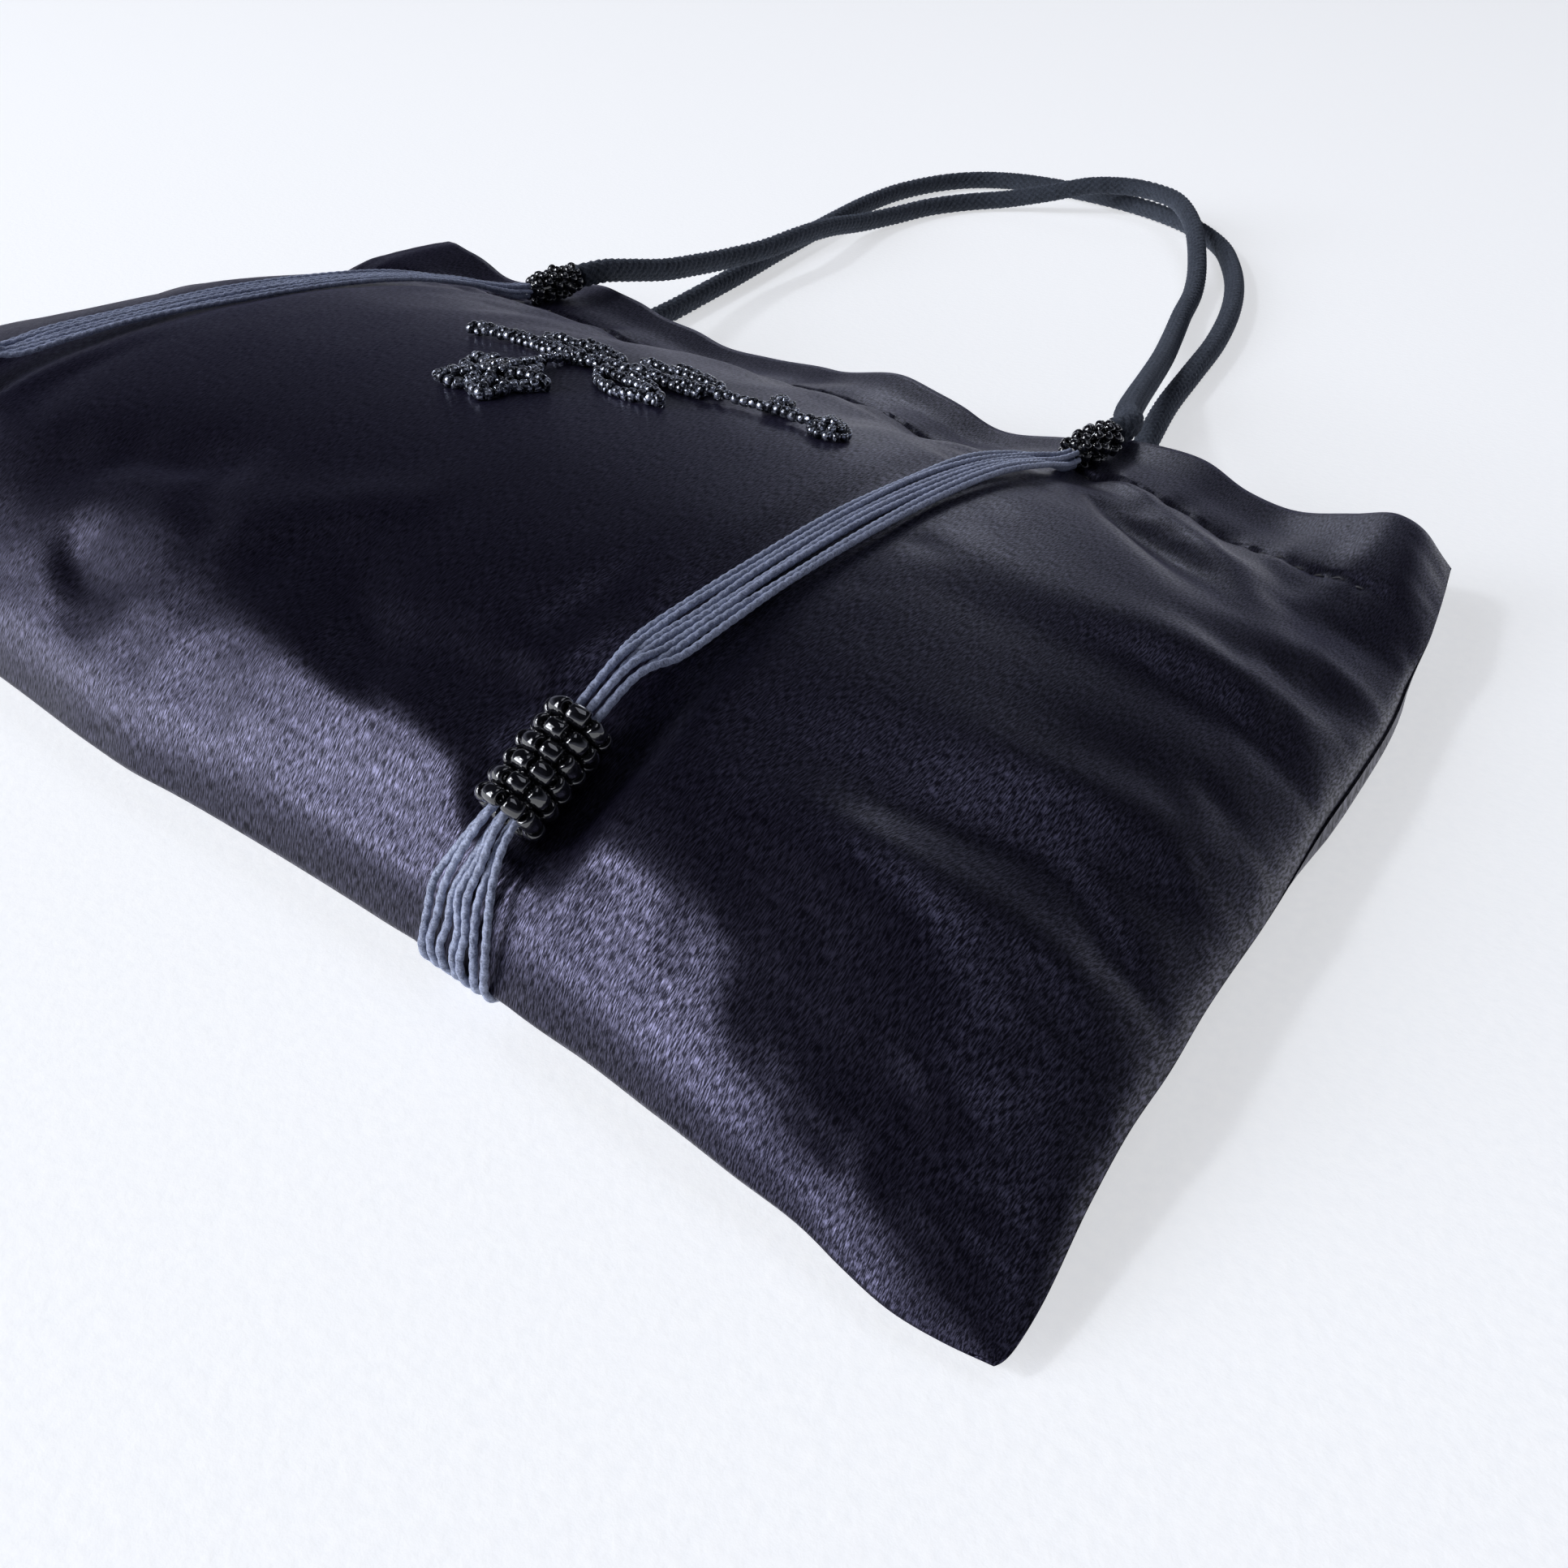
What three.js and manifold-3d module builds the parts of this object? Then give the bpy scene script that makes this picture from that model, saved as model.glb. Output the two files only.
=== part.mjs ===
// A small evening pouch of black satin, lying on its back with its mouth towards +Y.
// Two round cord handles end in beaded collars at the hem. Seven thin strands run from each
// front collar down the front panel, through a beaded sleeve, round the bottom fold and on
// under the back panel to a back collar. A beaded sprig is sewn to the front panel.
// Millimetres, +Z up, +X to the pouch's right as it is seen from the front.
import * as THREE from 'three';
import Module from 'manifold-3d';
import { mergeVertices } from 'three/addons/utils/BufferGeometryUtils.js';

const wasm = await Module();
wasm.setup();

// Pouch
const BOTTOM_HALF_WIDTH = 115;
const SIDE_TAPER = 0.115;
const HEM_TOP = 131;
const CASING_HEIGHT = 14.7;
const SEAM_HEIGHT = 6;
const GAP = 0.3;
const SATIN = 1.2;
const LINING = 0.8;
const CASING_THICKNESS = 2.6;
const TUNNEL = 1.0;
const TUNNEL_HEIGHT = 11;
const PAST_SIDE_SEAM = 1.1;

// Straps, collars and handles
const STRAP_SHARE = 0.522;
const STRAND_RADIUS = 0.35;
const STRAND_PITCH = 1.0;
const STRANDS_PER_STRAP = 7;
const STRAND_SIDES = 8;
const STRAP_NOSE = 1.0;
const SLEEVE_LENGTH = 11.4;
const SLEEVE_RADIUS = 3.3;
const SLEEVE_BORE = 1.75;
const SLEEVE_ROWS = 6;
const SLEEVE_GROOVE = 0.45;
const SLEEVE_SIDES = 12;
const SLEEVE_PLACE = { y: 12.6, z: 20.7 };
const SLEEVE_SLOPE = THREE.MathUtils.degToRad(28);
const SLEEVE_TRAVEL = 4.5;
const COLLAR_LENGTH = 11;
const COLLAR_BOTTOM = 113.5;
const COLLAR_SHOULDER = 2.2;
const COLLAR_END_SHARE = 0.72;
const COLLAR_SIDES = 14;
const FRONT_COLLAR = { radius: 3.8, z: 18 };
const BACK_COLLAR = { radius: 3.4, z: 3.5 };
const ROPE_RADIUS = 2.1;
const ROPE_SIDES = 8;
const ROPE_STEPS = 44;

// Beaded sprig
const SPRIG_LIFT = 0.45;
const SPRIG_THICKNESS = 1.4;
const FLOWER = { x: 0.8, y: 59.8, turn: 0.3, petals: 5, inner: 4.2, outer: 6.6 };
const FLOWER_CENTRE = { radius: 2.1, height: 1.3 };
const LEAF_WIDTH = 4;
const LEAVES = [
  { x: -7.5, y: 76, turn: 0.1, length: 13 },
  { x: 8, y: 70.4, turn: -0.18, length: 13 },
  { x: 8.5, y: 77.8, turn: 0.06, length: 13 },
];
const BUD_HEIGHT = 1.7;
const BUDS = [{ x: 29.8, y: 80.4, radius: 2.0 }, { x: 38.8, y: 78, radius: 2.6 }];
const STEM = [
  [-16.5, 71.2], [-12.5, 72.4], [-8, 73], [-2, 72.8], [4, 73], [12, 74.2], [20.6, 75.2],
  [28, 77], [35, 77.7],
];
const STEM_RADIUS = 0.75;
const STEM_STEPS = 16;

// Heights of the front panel along the strap, from the bottom fold to the hem.
const FRONT_PROFILE = [
  [0, 7.35], [2, 10.4], [5, 13.6], [10, 17.4], [18, 20.6], [30, 23.2], [45, 24.5],
  [60, 24.6], [75, 23.6], [88, 21.4], [100, 18.0], [112, 14.2], [116, 13.4], [131, 13.0],
];
// How far the strap presses into the front panel, along the same line.
const FRONT_DENT = [[0, 0], [2, 0.4], [5, 1.2], [10, 2.2], [18, 2.2], [30, 1.0], [45, 0.3], [60, 0]];
// How far the back panel is lifted over the strap and over the back collar.
const BACK_DENT = [[0, 0], [5, 1.3], [88, 1.3], [112, 7.2], [131, 7.2]];
const CROWN = { power: 3.5, shoulder: 0.7 };
const BACK_ROLL = 18;
const DENT_FLAT = 0.042;
const DENT_EDGE = 0.118;
const HEM_WAVE = { height: 0.9, length: 45, start: 100 };

const RIM_TOP = SEAM_HEIGHT + GAP / 2 + SATIN;
const RIM_BOTTOM = SEAM_HEIGHT - GAP / 2 - SATIN;

const COLUMN_SHARES = [0, 0.14, 0.28, 0.4, 0.48, 0.564, 0.64, 0.75, 0.86, 0.94, 0.98, 1];
const PANEL_ROWS = [0, 2, 5, 10, 18, 30, 45, 60, 75, 88, 100, 112, 116];

const satin = new THREE.MeshStandardMaterial({ color: 0x0a0a12, roughness: 0.42, metalness: 0 });
const liningCloth = new THREE.MeshStandardMaterial({ color: 0x14141a, roughness: 0.7, metalness: 0 });
const cord = new THREE.MeshStandardMaterial({ color: 0x3a3f4e, roughness: 0.85, metalness: 0 });
const strandCord = new THREE.MeshStandardMaterial({ color: 0x5a6078, roughness: 0.6, metalness: 0 });
const bead = new THREE.MeshStandardMaterial({ color: 0x050507, roughness: 0.12, metalness: 0 });

const pouch = new THREE.Group();

// ---- heights of the panels ----

// Straight-line reading of a list of [position, value] pairs.
function readList(list, position) {
  const next = list.findIndex((pair) => pair[0] >= position);
  if (next < 0) return list[list.length - 1][1];
  if (next === 0) return list[0][1];
  const [from, low] = list[next - 1];
  const [to, high] = list[next];
  return low + (high - low) * (position - from) / (to - from);
}

function halfWidth(y) {
  return BOTTOM_HALF_WIDTH - SIDE_TAPER * y;
}

function crown(share) {
  return (1 - Math.min(1, Math.abs(share)) ** CROWN.power) ** CROWN.shoulder;
}

// 1 over the strap, falling to 0 on each side of it.
function strapBump(share) {
  const away = Math.abs(Math.abs(share) - STRAP_SHARE);
  return 1 - THREE.MathUtils.clamp((away - DENT_FLAT) / (DENT_EDGE - DENT_FLAT), 0, 1);
}

function hemWave(x, y) {
  const grow = THREE.MathUtils.smoothstep(y, HEM_WAVE.start, HEM_TOP);
  const share = x / halfWidth(y);
  const wave = Math.cos(x * 2 * Math.PI / HEM_WAVE.length);
  return HEM_WAVE.height * grow * wave * (1 - share ** 4) * (1 - strapBump(share));
}

// Outer surface of the front panel.
function frontHeight(x, y) {
  const share = x / halfWidth(y);
  const rise = (readList(FRONT_PROFILE, y) - RIM_TOP) / crown(STRAP_SHARE);
  return RIM_TOP + rise * crown(share) - readList(FRONT_DENT, y) * strapBump(share) + hemWave(x, y);
}

// Outer surface of the back panel, flat on the table and rolled up at its edges.
function backHeight(x, y) {
  const share = x / halfWidth(y);
  const inward = Math.min(halfWidth(y) - Math.abs(x), y);
  const roll = RIM_BOTTOM * Math.max(0, 1 - inward / BACK_ROLL) ** 2;
  const edge = THREE.MathUtils.clamp(inward / BACK_ROLL, 0, 1);
  return roll + readList(BACK_DENT, y) * strapBump(share) * (y > BACK_ROLL ? edge : 1);
}

// ---- shells ----

// A closed sheet between two heights, on a grid of columns (shares of the half width) and rows.
function sheetSolid(shares, rows, upper, lower) {
  const across = shares.length;
  const positions = [];
  for (const height of [upper, lower]) {
    for (const y of rows) {
      for (const share of shares) {
        const x = share * halfWidth(y);
        positions.push(x, y, height(x, y));
      }
    }
  }
  const layer = across * rows.length;
  const indices = [];
  const quad = (a, b, c, d) => indices.push(a, b, c, a, c, d);
  for (let row = 0; row < rows.length - 1; row += 1) {
    for (let column = 0; column < across - 1; column += 1) {
      const corner = row * across + column;
      indices.push(corner, corner + 1, corner + across + 1);
      indices.push(corner, corner + across + 1, corner + across);
      indices.push(layer + corner, layer + corner + across + 1, layer + corner + 1);
      indices.push(layer + corner, layer + corner + across, layer + corner + across + 1);
    }
  }
  const last = layer - across;
  for (let column = 0; column < across - 1; column += 1) {
    quad(column, layer + column, layer + column + 1, column + 1);
    quad(last + column + 1, layer + last + column + 1, layer + last + column, last + column);
  }
  for (let row = 0; row < rows.length - 1; row += 1) {
    const left = row * across;
    const right = left + across - 1;
    quad(left + across, layer + left + across, layer + left, left);
    quad(right, layer + right, layer + right + across, right + across);
  }
  const geometry = new THREE.BufferGeometry();
  geometry.setAttribute('position', new THREE.Float32BufferAttribute(positions, 3));
  geometry.setIndex(indices);
  geometry.computeVertexNormals();
  return geometry;
}

function mirrored(shares) {
  const left = shares.filter((share) => share > 0).map((share) => -share);
  return [...left.reverse(), ...shares];
}

function toManifold(geometry) {
  const bare = geometry.clone();
  bare.deleteAttribute('normal');
  bare.deleteAttribute('uv');
  const merged = mergeVertices(bare, 1e-4);
  return new wasm.Manifold(new wasm.Mesh({
    numProp: 3,
    vertProperties: new Float32Array(merged.attributes.position.array),
    triVerts: new Uint32Array(merged.index.array),
  }));
}

function fromManifold(solid) {
  const mesh = solid.getMesh();
  const geometry = new THREE.BufferGeometry();
  geometry.setAttribute('position', new THREE.BufferAttribute(mesh.vertProperties, 3));
  geometry.setIndex(new THREE.BufferAttribute(mesh.triVerts, 1));
  geometry.computeVertexNormals();
  return geometry;
}

function add(name, geometry, material, parent = pouch) {
  const mesh = new THREE.Mesh(geometry, material);
  mesh.name = name;
  parent.add(mesh);
  return mesh;
}

function addPanels() {
  const columns = mirrored(COLUMN_SHARES);
  const inner = columns.slice(2, -2);
  const innerRows = PANEL_ROWS.slice(2);
  const liningTop = (x, y) => frontHeight(x, y) - SATIN - GAP;
  const liningBottom = (x, y) => backHeight(x, y) + SATIN + GAP;
  add('outer_front', sheetSolid(
    columns, PANEL_ROWS, frontHeight, (x, y) => frontHeight(x, y) - SATIN,
  ), satin);
  add('outer_back', sheetSolid(
    columns, PANEL_ROWS, (x, y) => backHeight(x, y) + SATIN, backHeight,
  ), satin);
  add('lining_front', sheetSolid(
    inner, innerRows, liningTop, (x, y) => liningTop(x, y) - LINING,
  ), liningCloth);
  add('lining_back', sheetSolid(
    inner, innerRows, (x, y) => liningBottom(x, y) + LINING, liningBottom,
  ), liningCloth);
}

// The hem is folded over into a casing: a flat tube, open at both ends, for a drawcord.
function casing(lower) {
  const columns = mirrored(COLUMN_SHARES);
  const hemBottom = HEM_TOP - CASING_HEIGHT + GAP;
  const middle = (hemBottom + HEM_TOP) / 2;
  const wall = (CASING_THICKNESS - TUNNEL) / 2;
  const tunnelRows = [middle - TUNNEL_HEIGHT / 2, middle + TUNNEL_HEIGHT / 2];
  const past = [-PAST_SIDE_SEAM, ...columns, PAST_SIDE_SEAM];
  const body = toManifold(sheetSolid(
    columns, [hemBottom, HEM_TOP], (x, y) => lower(x, y) + CASING_THICKNESS, lower,
  ));
  const tunnel = toManifold(sheetSolid(
    past, tunnelRows, (x, y) => lower(x, y) + wall + TUNNEL, (x, y) => lower(x, y) + wall,
  ));
  return fromManifold(body.subtract(tunnel));
}

function addCasings() {
  const seamHalf = GAP / 2;
  const clearBelowFront = (x, y) => {
    const beside = Math.abs(x) > halfWidth(y) * (STRAP_SHARE + DENT_EDGE);
    return beside ? SEAM_HEIGHT - seamHalf - CASING_THICKNESS : Infinity;
  };
  const frontLower = (x, y) => Math.max(frontHeight(x, y) - CASING_THICKNESS, SEAM_HEIGHT + seamHalf);
  const backLower = (x, y) => Math.min(backHeight(x, y), clearBelowFront(x, y));
  add('casing_front', casing(frontLower), satin);
  add('casing_back', casing(backLower), satin);
}

// ---- cords ----

// A smooth route whose steps fall on its own points, closer together at the bends.
class Route extends THREE.CatmullRomCurve3 {
  getUtoTmapping(share) {
    return share;
  }
}

function tube(points, radius, sides, steps) {
  const section = new THREE.Shape();
  section.absarc(0, 0, radius, 0, 2 * Math.PI);
  const route = steps ? new THREE.CatmullRomCurve3(points) : new Route(points);
  return new THREE.ExtrudeGeometry(section, {
    steps: steps ?? points.length - 1,
    curveSegments: sides / 2,
    extrudePath: route,
  });
}

function along(distance) {
  return {
    y: SLEEVE_PLACE.y + distance * Math.cos(SLEEVE_SLOPE),
    z: SLEEVE_PLACE.z + distance * Math.sin(SLEEVE_SLOPE),
  };
}

// Middle line of a strap from the front collar to the back collar: y, z and how tightly the
// strands are bundled, from 0, side by side, to 1, packed.
function strapRoute() {
  const half = SLEEVE_LENGTH / 2;
  const above = along(half + SLEEVE_TRAVEL + 0.5);
  const under = along(-half - 0.5);
  const collarFace = COLLAR_BOTTOM - GAP;
  return [
    [collarFace, FRONT_COLLAR.z, 1], [109.5, 18.3, 0.9], [105, 19.3, 0.5], [99, 20.6, 0.15],
    [88, 23.2, 0], [75, 25.1, 0], [60, 26.2, 0], [45, 26.3, 0], [35, 26.2, 0.1],
    [28, 25.9, 0.5], [above.y, above.z, 1], [SLEEVE_PLACE.y, SLEEVE_PLACE.z, 1],
    [under.y, under.z, 1], [4.7, 15.5, 0.75], [2.2, 12.8, 0.4], [0.4, 10.2, 0.1],
    [-0.75, 7.8, 0], [-STRAP_NOSE, 5.6, 0], [-0.3, 3.9, 0], [1.6, 2.8, 0], [5, 2.1, 0],
    [9, 1.35, 0], [14, 0.75, 0], [19, 0.5, 0], [42, 0.5, 0], [65, 0.5, 0], [87, 0.5, 0],
    [94, 1.0, 0.1], [101, 2.2, 0.4], [107, 3.1, 0.8], [collarFace, BACK_COLLAR.z, 1],
  ];
}

// Place of each strand in the packed bundle, two, three and two to a row.
const PACKED = [[-1, 0], [-0.5, 0.87], [-0.5, -0.87], [0, 0], [0.5, 0.87], [0.5, -0.87], [1, 0]];

// The straps lean inwards like the side seams, but run straight through their sleeves.
function strapCentre(y) {
  const reach = SLEEVE_LENGTH / 2 + SLEEVE_TRAVEL + 1;
  const inSleeve = Math.abs(y - SLEEVE_PLACE.y) < reach * Math.cos(SLEEVE_SLOPE);
  return STRAP_SHARE * halfWidth(inSleeve ? SLEEVE_PLACE.y : y);
}

function strandPoints(side, number) {
  const route = strapRoute();
  const flat = number - (STRANDS_PER_STRAP - 1) / 2;
  return route.map(([y, z, bundled], index) => {
    const before = route[Math.max(0, index - 1)];
    const after = route[Math.min(route.length - 1, index + 1)];
    const run = new THREE.Vector2(after[0] - before[0], after[1] - before[1]).normalize();
    const across = THREE.MathUtils.lerp(flat, PACKED[number][0], bundled) * STRAND_PITCH;
    const out = PACKED[number][1] * bundled * STRAND_PITCH;
    const x = side * strapCentre(y) + across;
    return new THREE.Vector3(x, y + run.y * out, z - run.x * out);
  });
}

function addStraps() {
  for (const [name, side] of [['left', -1], ['right', 1]]) {
    for (let number = 0; number < STRANDS_PER_STRAP; number += 1) {
      const strand = tube(strandPoints(side, number), STRAND_RADIUS, STRAND_SIDES);
      add(`strand_${name}_${number + 1}`, strand, strandCord);
    }
    const sleeve = add(`sleeve_${name}`, sleeveGeometry(), bead);
    sleeve.position.set(side * strapCentre(SLEEVE_PLACE.y), SLEEVE_PLACE.y, SLEEVE_PLACE.z);
    sleeve.rotation.x = SLEEVE_SLOPE;
  }
}

// Rows of beads round a bore, modelled as a grooved ring.
function sleeveGeometry() {
  const row = SLEEVE_LENGTH / SLEEVE_ROWS;
  const start = -SLEEVE_LENGTH / 2;
  const groove = SLEEVE_RADIUS - SLEEVE_GROOVE;
  const profile = [new THREE.Vector2(SLEEVE_BORE, start)];
  for (let index = 0; index < SLEEVE_ROWS; index += 1) {
    profile.push(new THREE.Vector2(groove, start + index * row));
    profile.push(new THREE.Vector2(SLEEVE_RADIUS, start + (index + 0.5) * row));
  }
  profile.push(new THREE.Vector2(groove, -start));
  profile.push(new THREE.Vector2(SLEEVE_BORE, -start));
  profile.push(profile[0].clone());
  return new THREE.LatheGeometry(profile, SLEEVE_SIDES);
}

function collarGeometry(radius) {
  const end = radius * COLLAR_END_SHARE;
  const profile = [
    [0, 0], [end, 0], [radius, COLLAR_SHOULDER], [radius, COLLAR_LENGTH - COLLAR_SHOULDER],
    [end, COLLAR_LENGTH], [0, COLLAR_LENGTH],
  ];
  const points = profile.map(([reach, height]) => new THREE.Vector2(reach, height));
  return new THREE.LatheGeometry(points, COLLAR_SIDES);
}

function addCollars() {
  for (const [face, size] of [['front', FRONT_COLLAR], ['back', BACK_COLLAR]]) {
    for (const [name, side] of [['left', -1], ['right', 1]]) {
      const collar = add(`collar_${face}_${name}`, collarGeometry(size.radius), bead);
      const middle = COLLAR_BOTTOM + COLLAR_LENGTH / 2;
      collar.position.set(side * STRAP_SHARE * halfWidth(middle), COLLAR_BOTTOM, size.z);
    }
  }
}

const COLLAR_X = STRAP_SHARE * halfWidth(COLLAR_BOTTOM + COLLAR_LENGTH / 2);
const ROPE_START = COLLAR_BOTTOM + COLLAR_LENGTH + GAP;

// Front handle: over the hem, down to the table, and up over the back handle at its far end.
const FRONT_ROPE = [
  [-COLLAR_X, ROPE_START, 18], [-COLLAR_X, ROPE_START + 3, 18], [-53.1, 132, 17.6],
  [-54.2, 139, 15.6], [-56, 150, 12.2],
  [-58.3, 162, 9.8], [-60.2, 174, 8.0], [-61.2, 186, 7.2], [-62.8, 199, 7.0],
  [-66, 214, 5.6], [-68.5, 229, 3.4], [-69.2, 243, 2.3], [-68, 256, 2.2], [-64, 267, 2.2],
  [-57, 275, 2.8], [-49, 280.5, 4.6], [-41, 286, 6.7], [-33, 290.5, 7.1], [-24.5, 290, 7.1],
  [-16, 284.5, 7.0], [-5.5, 271, 5.8], [4.5, 253.5, 3.4], [11.5, 238, 2.2], [17, 222, 2.2],
  [23, 206, 3.0], [29, 190, 4.8], [35, 173, 7.4], [41.5, 155, 10.8], [47.5, 140, 14.6],
  [51.7, 132, 17.4], [COLLAR_X, ROPE_START + 3, 18], [COLLAR_X, ROPE_START, 18],
];
// Back handle: out from under the hem and flat on the table all the way.
const BACK_ROPE = [
  [-COLLAR_X, ROPE_START, 3.5], [-COLLAR_X, ROPE_START + 3, 3.5], [-53.6, 133, 3.2],
  [-55.5, 142, 2.6], [-58.3, 154, 2.2],
  [-61.3, 167, 2.2], [-65.1, 183, 2.2], [-69.6, 200, 2.2], [-73.8, 217, 2.2],
  [-77.6, 233, 2.2], [-80.8, 249, 2.2], [-82, 264, 2.2], [-80, 278, 2.2], [-75, 288, 2.2],
  [-67, 294, 2.2], [-57, 296.3, 2.2], [-46, 296.5, 2.2], [-35, 295, 2.2], [-23.5, 291.5, 2.2],
  [-11.5, 285, 2.2], [0, 274.5, 2.2], [8.5, 262, 2.2], [16.5, 247, 2.2], [23.5, 230, 2.2],
  [29.5, 211, 2.2], [34, 192, 2.2], [38, 175, 2.2], [42.5, 160, 2.2], [47, 146, 2.5],
  [51.6, 133, 3.2], [COLLAR_X, ROPE_START + 3, 3.5], [COLLAR_X, ROPE_START, 3.5],
];

function addHandles() {
  for (const [name, places] of [['front', FRONT_ROPE], ['back', BACK_ROPE]]) {
    const points = places.map((place) => new THREE.Vector3(...place));
    add(`handle_rope_${name}`, tube(points, ROPE_RADIUS, ROPE_SIDES, ROPE_STEPS), cord);
  }
}

// ---- beaded sprig ----

// Stands a flat piece on the front panel, square to the cloth.
function onPanel(mesh, x, y, turn, lift = SPRIG_LIFT) {
  const step = 3;
  const slopeX = (frontHeight(x + step, y) - frontHeight(x - step, y)) / (2 * step);
  const slopeY = (frontHeight(x, y + step) - frontHeight(x, y - step)) / (2 * step);
  const normal = new THREE.Vector3(-slopeX, -slopeY, 1).normalize();
  const tilt = new THREE.Quaternion().setFromUnitVectors(new THREE.Vector3(0, 0, 1), normal);
  const spin = new THREE.Quaternion().setFromAxisAngle(new THREE.Vector3(0, 0, 1), turn);
  mesh.position.set(x, y, frontHeight(x, y)).addScaledVector(normal, lift);
  mesh.quaternion.copy(tilt.multiply(spin));
}

function plate(outline) {
  return new THREE.ExtrudeGeometry(outline, {
    depth: SPRIG_THICKNESS, bevelEnabled: false, curveSegments: 6,
  });
}

function flowerOutline({ petals, inner, outer }) {
  const corners = petals * 6;
  const points = [];
  for (let index = 0; index < corners; index += 1) {
    const angle = index * 2 * Math.PI / corners;
    const radius = (inner + outer) / 2 + (outer - inner) / 2 * Math.cos(petals * angle);
    points.push(new THREE.Vector2(radius * Math.cos(angle), radius * Math.sin(angle)));
  }
  return new THREE.Shape(points);
}

function leafOutline(length, width) {
  const leaf = new THREE.Shape();
  leaf.moveTo(0, 0);
  leaf.quadraticCurveTo(length / 2, width, length, 0);
  leaf.quadraticCurveTo(length / 2, -width, 0, 0);
  return leaf;
}

function domeGeometry(radius, height) {
  const profile = [[0, 0], [radius, 0], [radius * 0.8, height * 0.65], [radius * 0.4, height], [0, height]];
  const dome = new THREE.LatheGeometry(profile.map(([r, h]) => new THREE.Vector2(r, h)), 12);
  dome.rotateX(Math.PI / 2);
  return dome;
}

function addSprig() {
  const flower = add('sprig_flower', plate(flowerOutline(FLOWER)), bead);
  onPanel(flower, FLOWER.x, FLOWER.y, FLOWER.turn);
  const dome = domeGeometry(FLOWER_CENTRE.radius, FLOWER_CENTRE.height);
  const centre = add('sprig_flower_centre', dome, bead);
  onPanel(centre, FLOWER.x, FLOWER.y, 0, SPRIG_LIFT + SPRIG_THICKNESS + GAP);
  LEAVES.forEach((leaf, index) => {
    const mesh = add(`sprig_leaf_${index + 1}`, plate(leafOutline(leaf.length, LEAF_WIDTH)), bead);
    onPanel(mesh, leaf.x, leaf.y, leaf.turn);
  });
  BUDS.forEach((bud, index) => {
    const mesh = add(`sprig_bud_${index + 1}`, domeGeometry(bud.radius, BUD_HEIGHT), bead);
    onPanel(mesh, bud.x, bud.y, 0);
  });
  const clear = GAP + STEM_RADIUS;
  const points = STEM.map(([x, y]) => new THREE.Vector3(x, y, frontHeight(x, y) + clear));
  add('sprig_stem', tube(points, STEM_RADIUS, STRAND_SIDES, STEM_STEPS), bead);
}

addPanels();
addCasings();
addStraps();
addCollars();
addHandles();
addSprig();

// The origin lies on the table under the middle of the pouch, handles left out.
const strapReach = STRAP_NOSE + STRAND_RADIUS;
pouch.position.y = -(HEM_TOP - strapReach) / 2;

export default pouch;
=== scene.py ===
"""A black satin evening pouch on a pale floor: cloth, twisted strands, braided handles and beads."""

import math
import random

import bpy
import numpy as np
from mathutils import Matrix, Vector


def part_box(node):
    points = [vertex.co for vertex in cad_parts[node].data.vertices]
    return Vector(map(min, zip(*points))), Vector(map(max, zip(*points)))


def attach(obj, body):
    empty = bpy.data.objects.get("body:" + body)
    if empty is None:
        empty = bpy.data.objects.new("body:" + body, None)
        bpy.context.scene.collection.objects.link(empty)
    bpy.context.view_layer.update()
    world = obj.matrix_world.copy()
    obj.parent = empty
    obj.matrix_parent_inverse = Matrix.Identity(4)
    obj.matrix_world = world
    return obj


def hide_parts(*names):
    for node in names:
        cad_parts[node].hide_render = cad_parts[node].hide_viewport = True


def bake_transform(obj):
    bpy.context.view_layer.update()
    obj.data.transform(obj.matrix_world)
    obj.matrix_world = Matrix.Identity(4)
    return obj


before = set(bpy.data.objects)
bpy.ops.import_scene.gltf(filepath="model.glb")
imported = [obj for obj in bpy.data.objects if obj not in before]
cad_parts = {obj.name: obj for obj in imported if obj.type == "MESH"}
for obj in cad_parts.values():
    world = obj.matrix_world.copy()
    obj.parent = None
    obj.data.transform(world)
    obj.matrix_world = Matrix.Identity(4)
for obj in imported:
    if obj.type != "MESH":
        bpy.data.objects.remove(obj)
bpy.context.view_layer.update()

MM = 0.001

# The pouch's own frame is in millimetres, with y from its bottom fold towards the mouth.
FOLD_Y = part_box("outer_front")[0].y / MM
HEM_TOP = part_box("casing_front")[1].y / MM - FOLD_Y
BOTTOM_HALF_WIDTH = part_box("outer_front")[1].x / MM
SIDE_TAPER = 0.115
SEAM_HEIGHT = 6.0
STITCH_LINE = 113.3
# Where a strap lies, as a share of the half width, and where its fan meets the fold.
STRAP_SHARE = 0.522
FAN_SHARE = 0.514

SLEEVE_SLOPE = math.radians(28)
SLEEVE_LENGTH = 11.4
SLEEVE_ROWS = 6
SLEEVE_PLACE = (12.6, 20.7)
SLEEVE_TRAVEL = 4.5
COLLAR_BOTTOM = 113.5
COLLAR_LENGTH = 11.0
COLLAR_X = STRAP_SHARE * (BOTTOM_HALF_WIDTH - SIDE_TAPER * (COLLAR_BOTTOM + COLLAR_LENGTH / 2))
ROPE_START = COLLAR_BOTTOM + COLLAR_LENGTH + 0.3
COLLAR_HEIGHTS = {"front": 16.0, "back": 3.3}
ROPE_RADIUS = 2.1
PLY_OFFSET, PLY_RADIUS = 0.075, 0.315
TWIST_PITCH = 2.7
STRANDS = 7

# Turn in degrees, place in the pouch's own frame, lens and sensor in millimetres.
CAMERA_YAW, CAMERA_PITCH, CAMERA_ROLL = -38.42, 35.28, 1.70
CAMERA_PLACE = (139.07, -54.9, 92.26)
CAMERA_LENS, CAMERA_SENSOR = 33.54, 36
CAMERA_NEAR = 0.005


# ---------------------------------------------------------------- camera, lines and tubes

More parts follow.
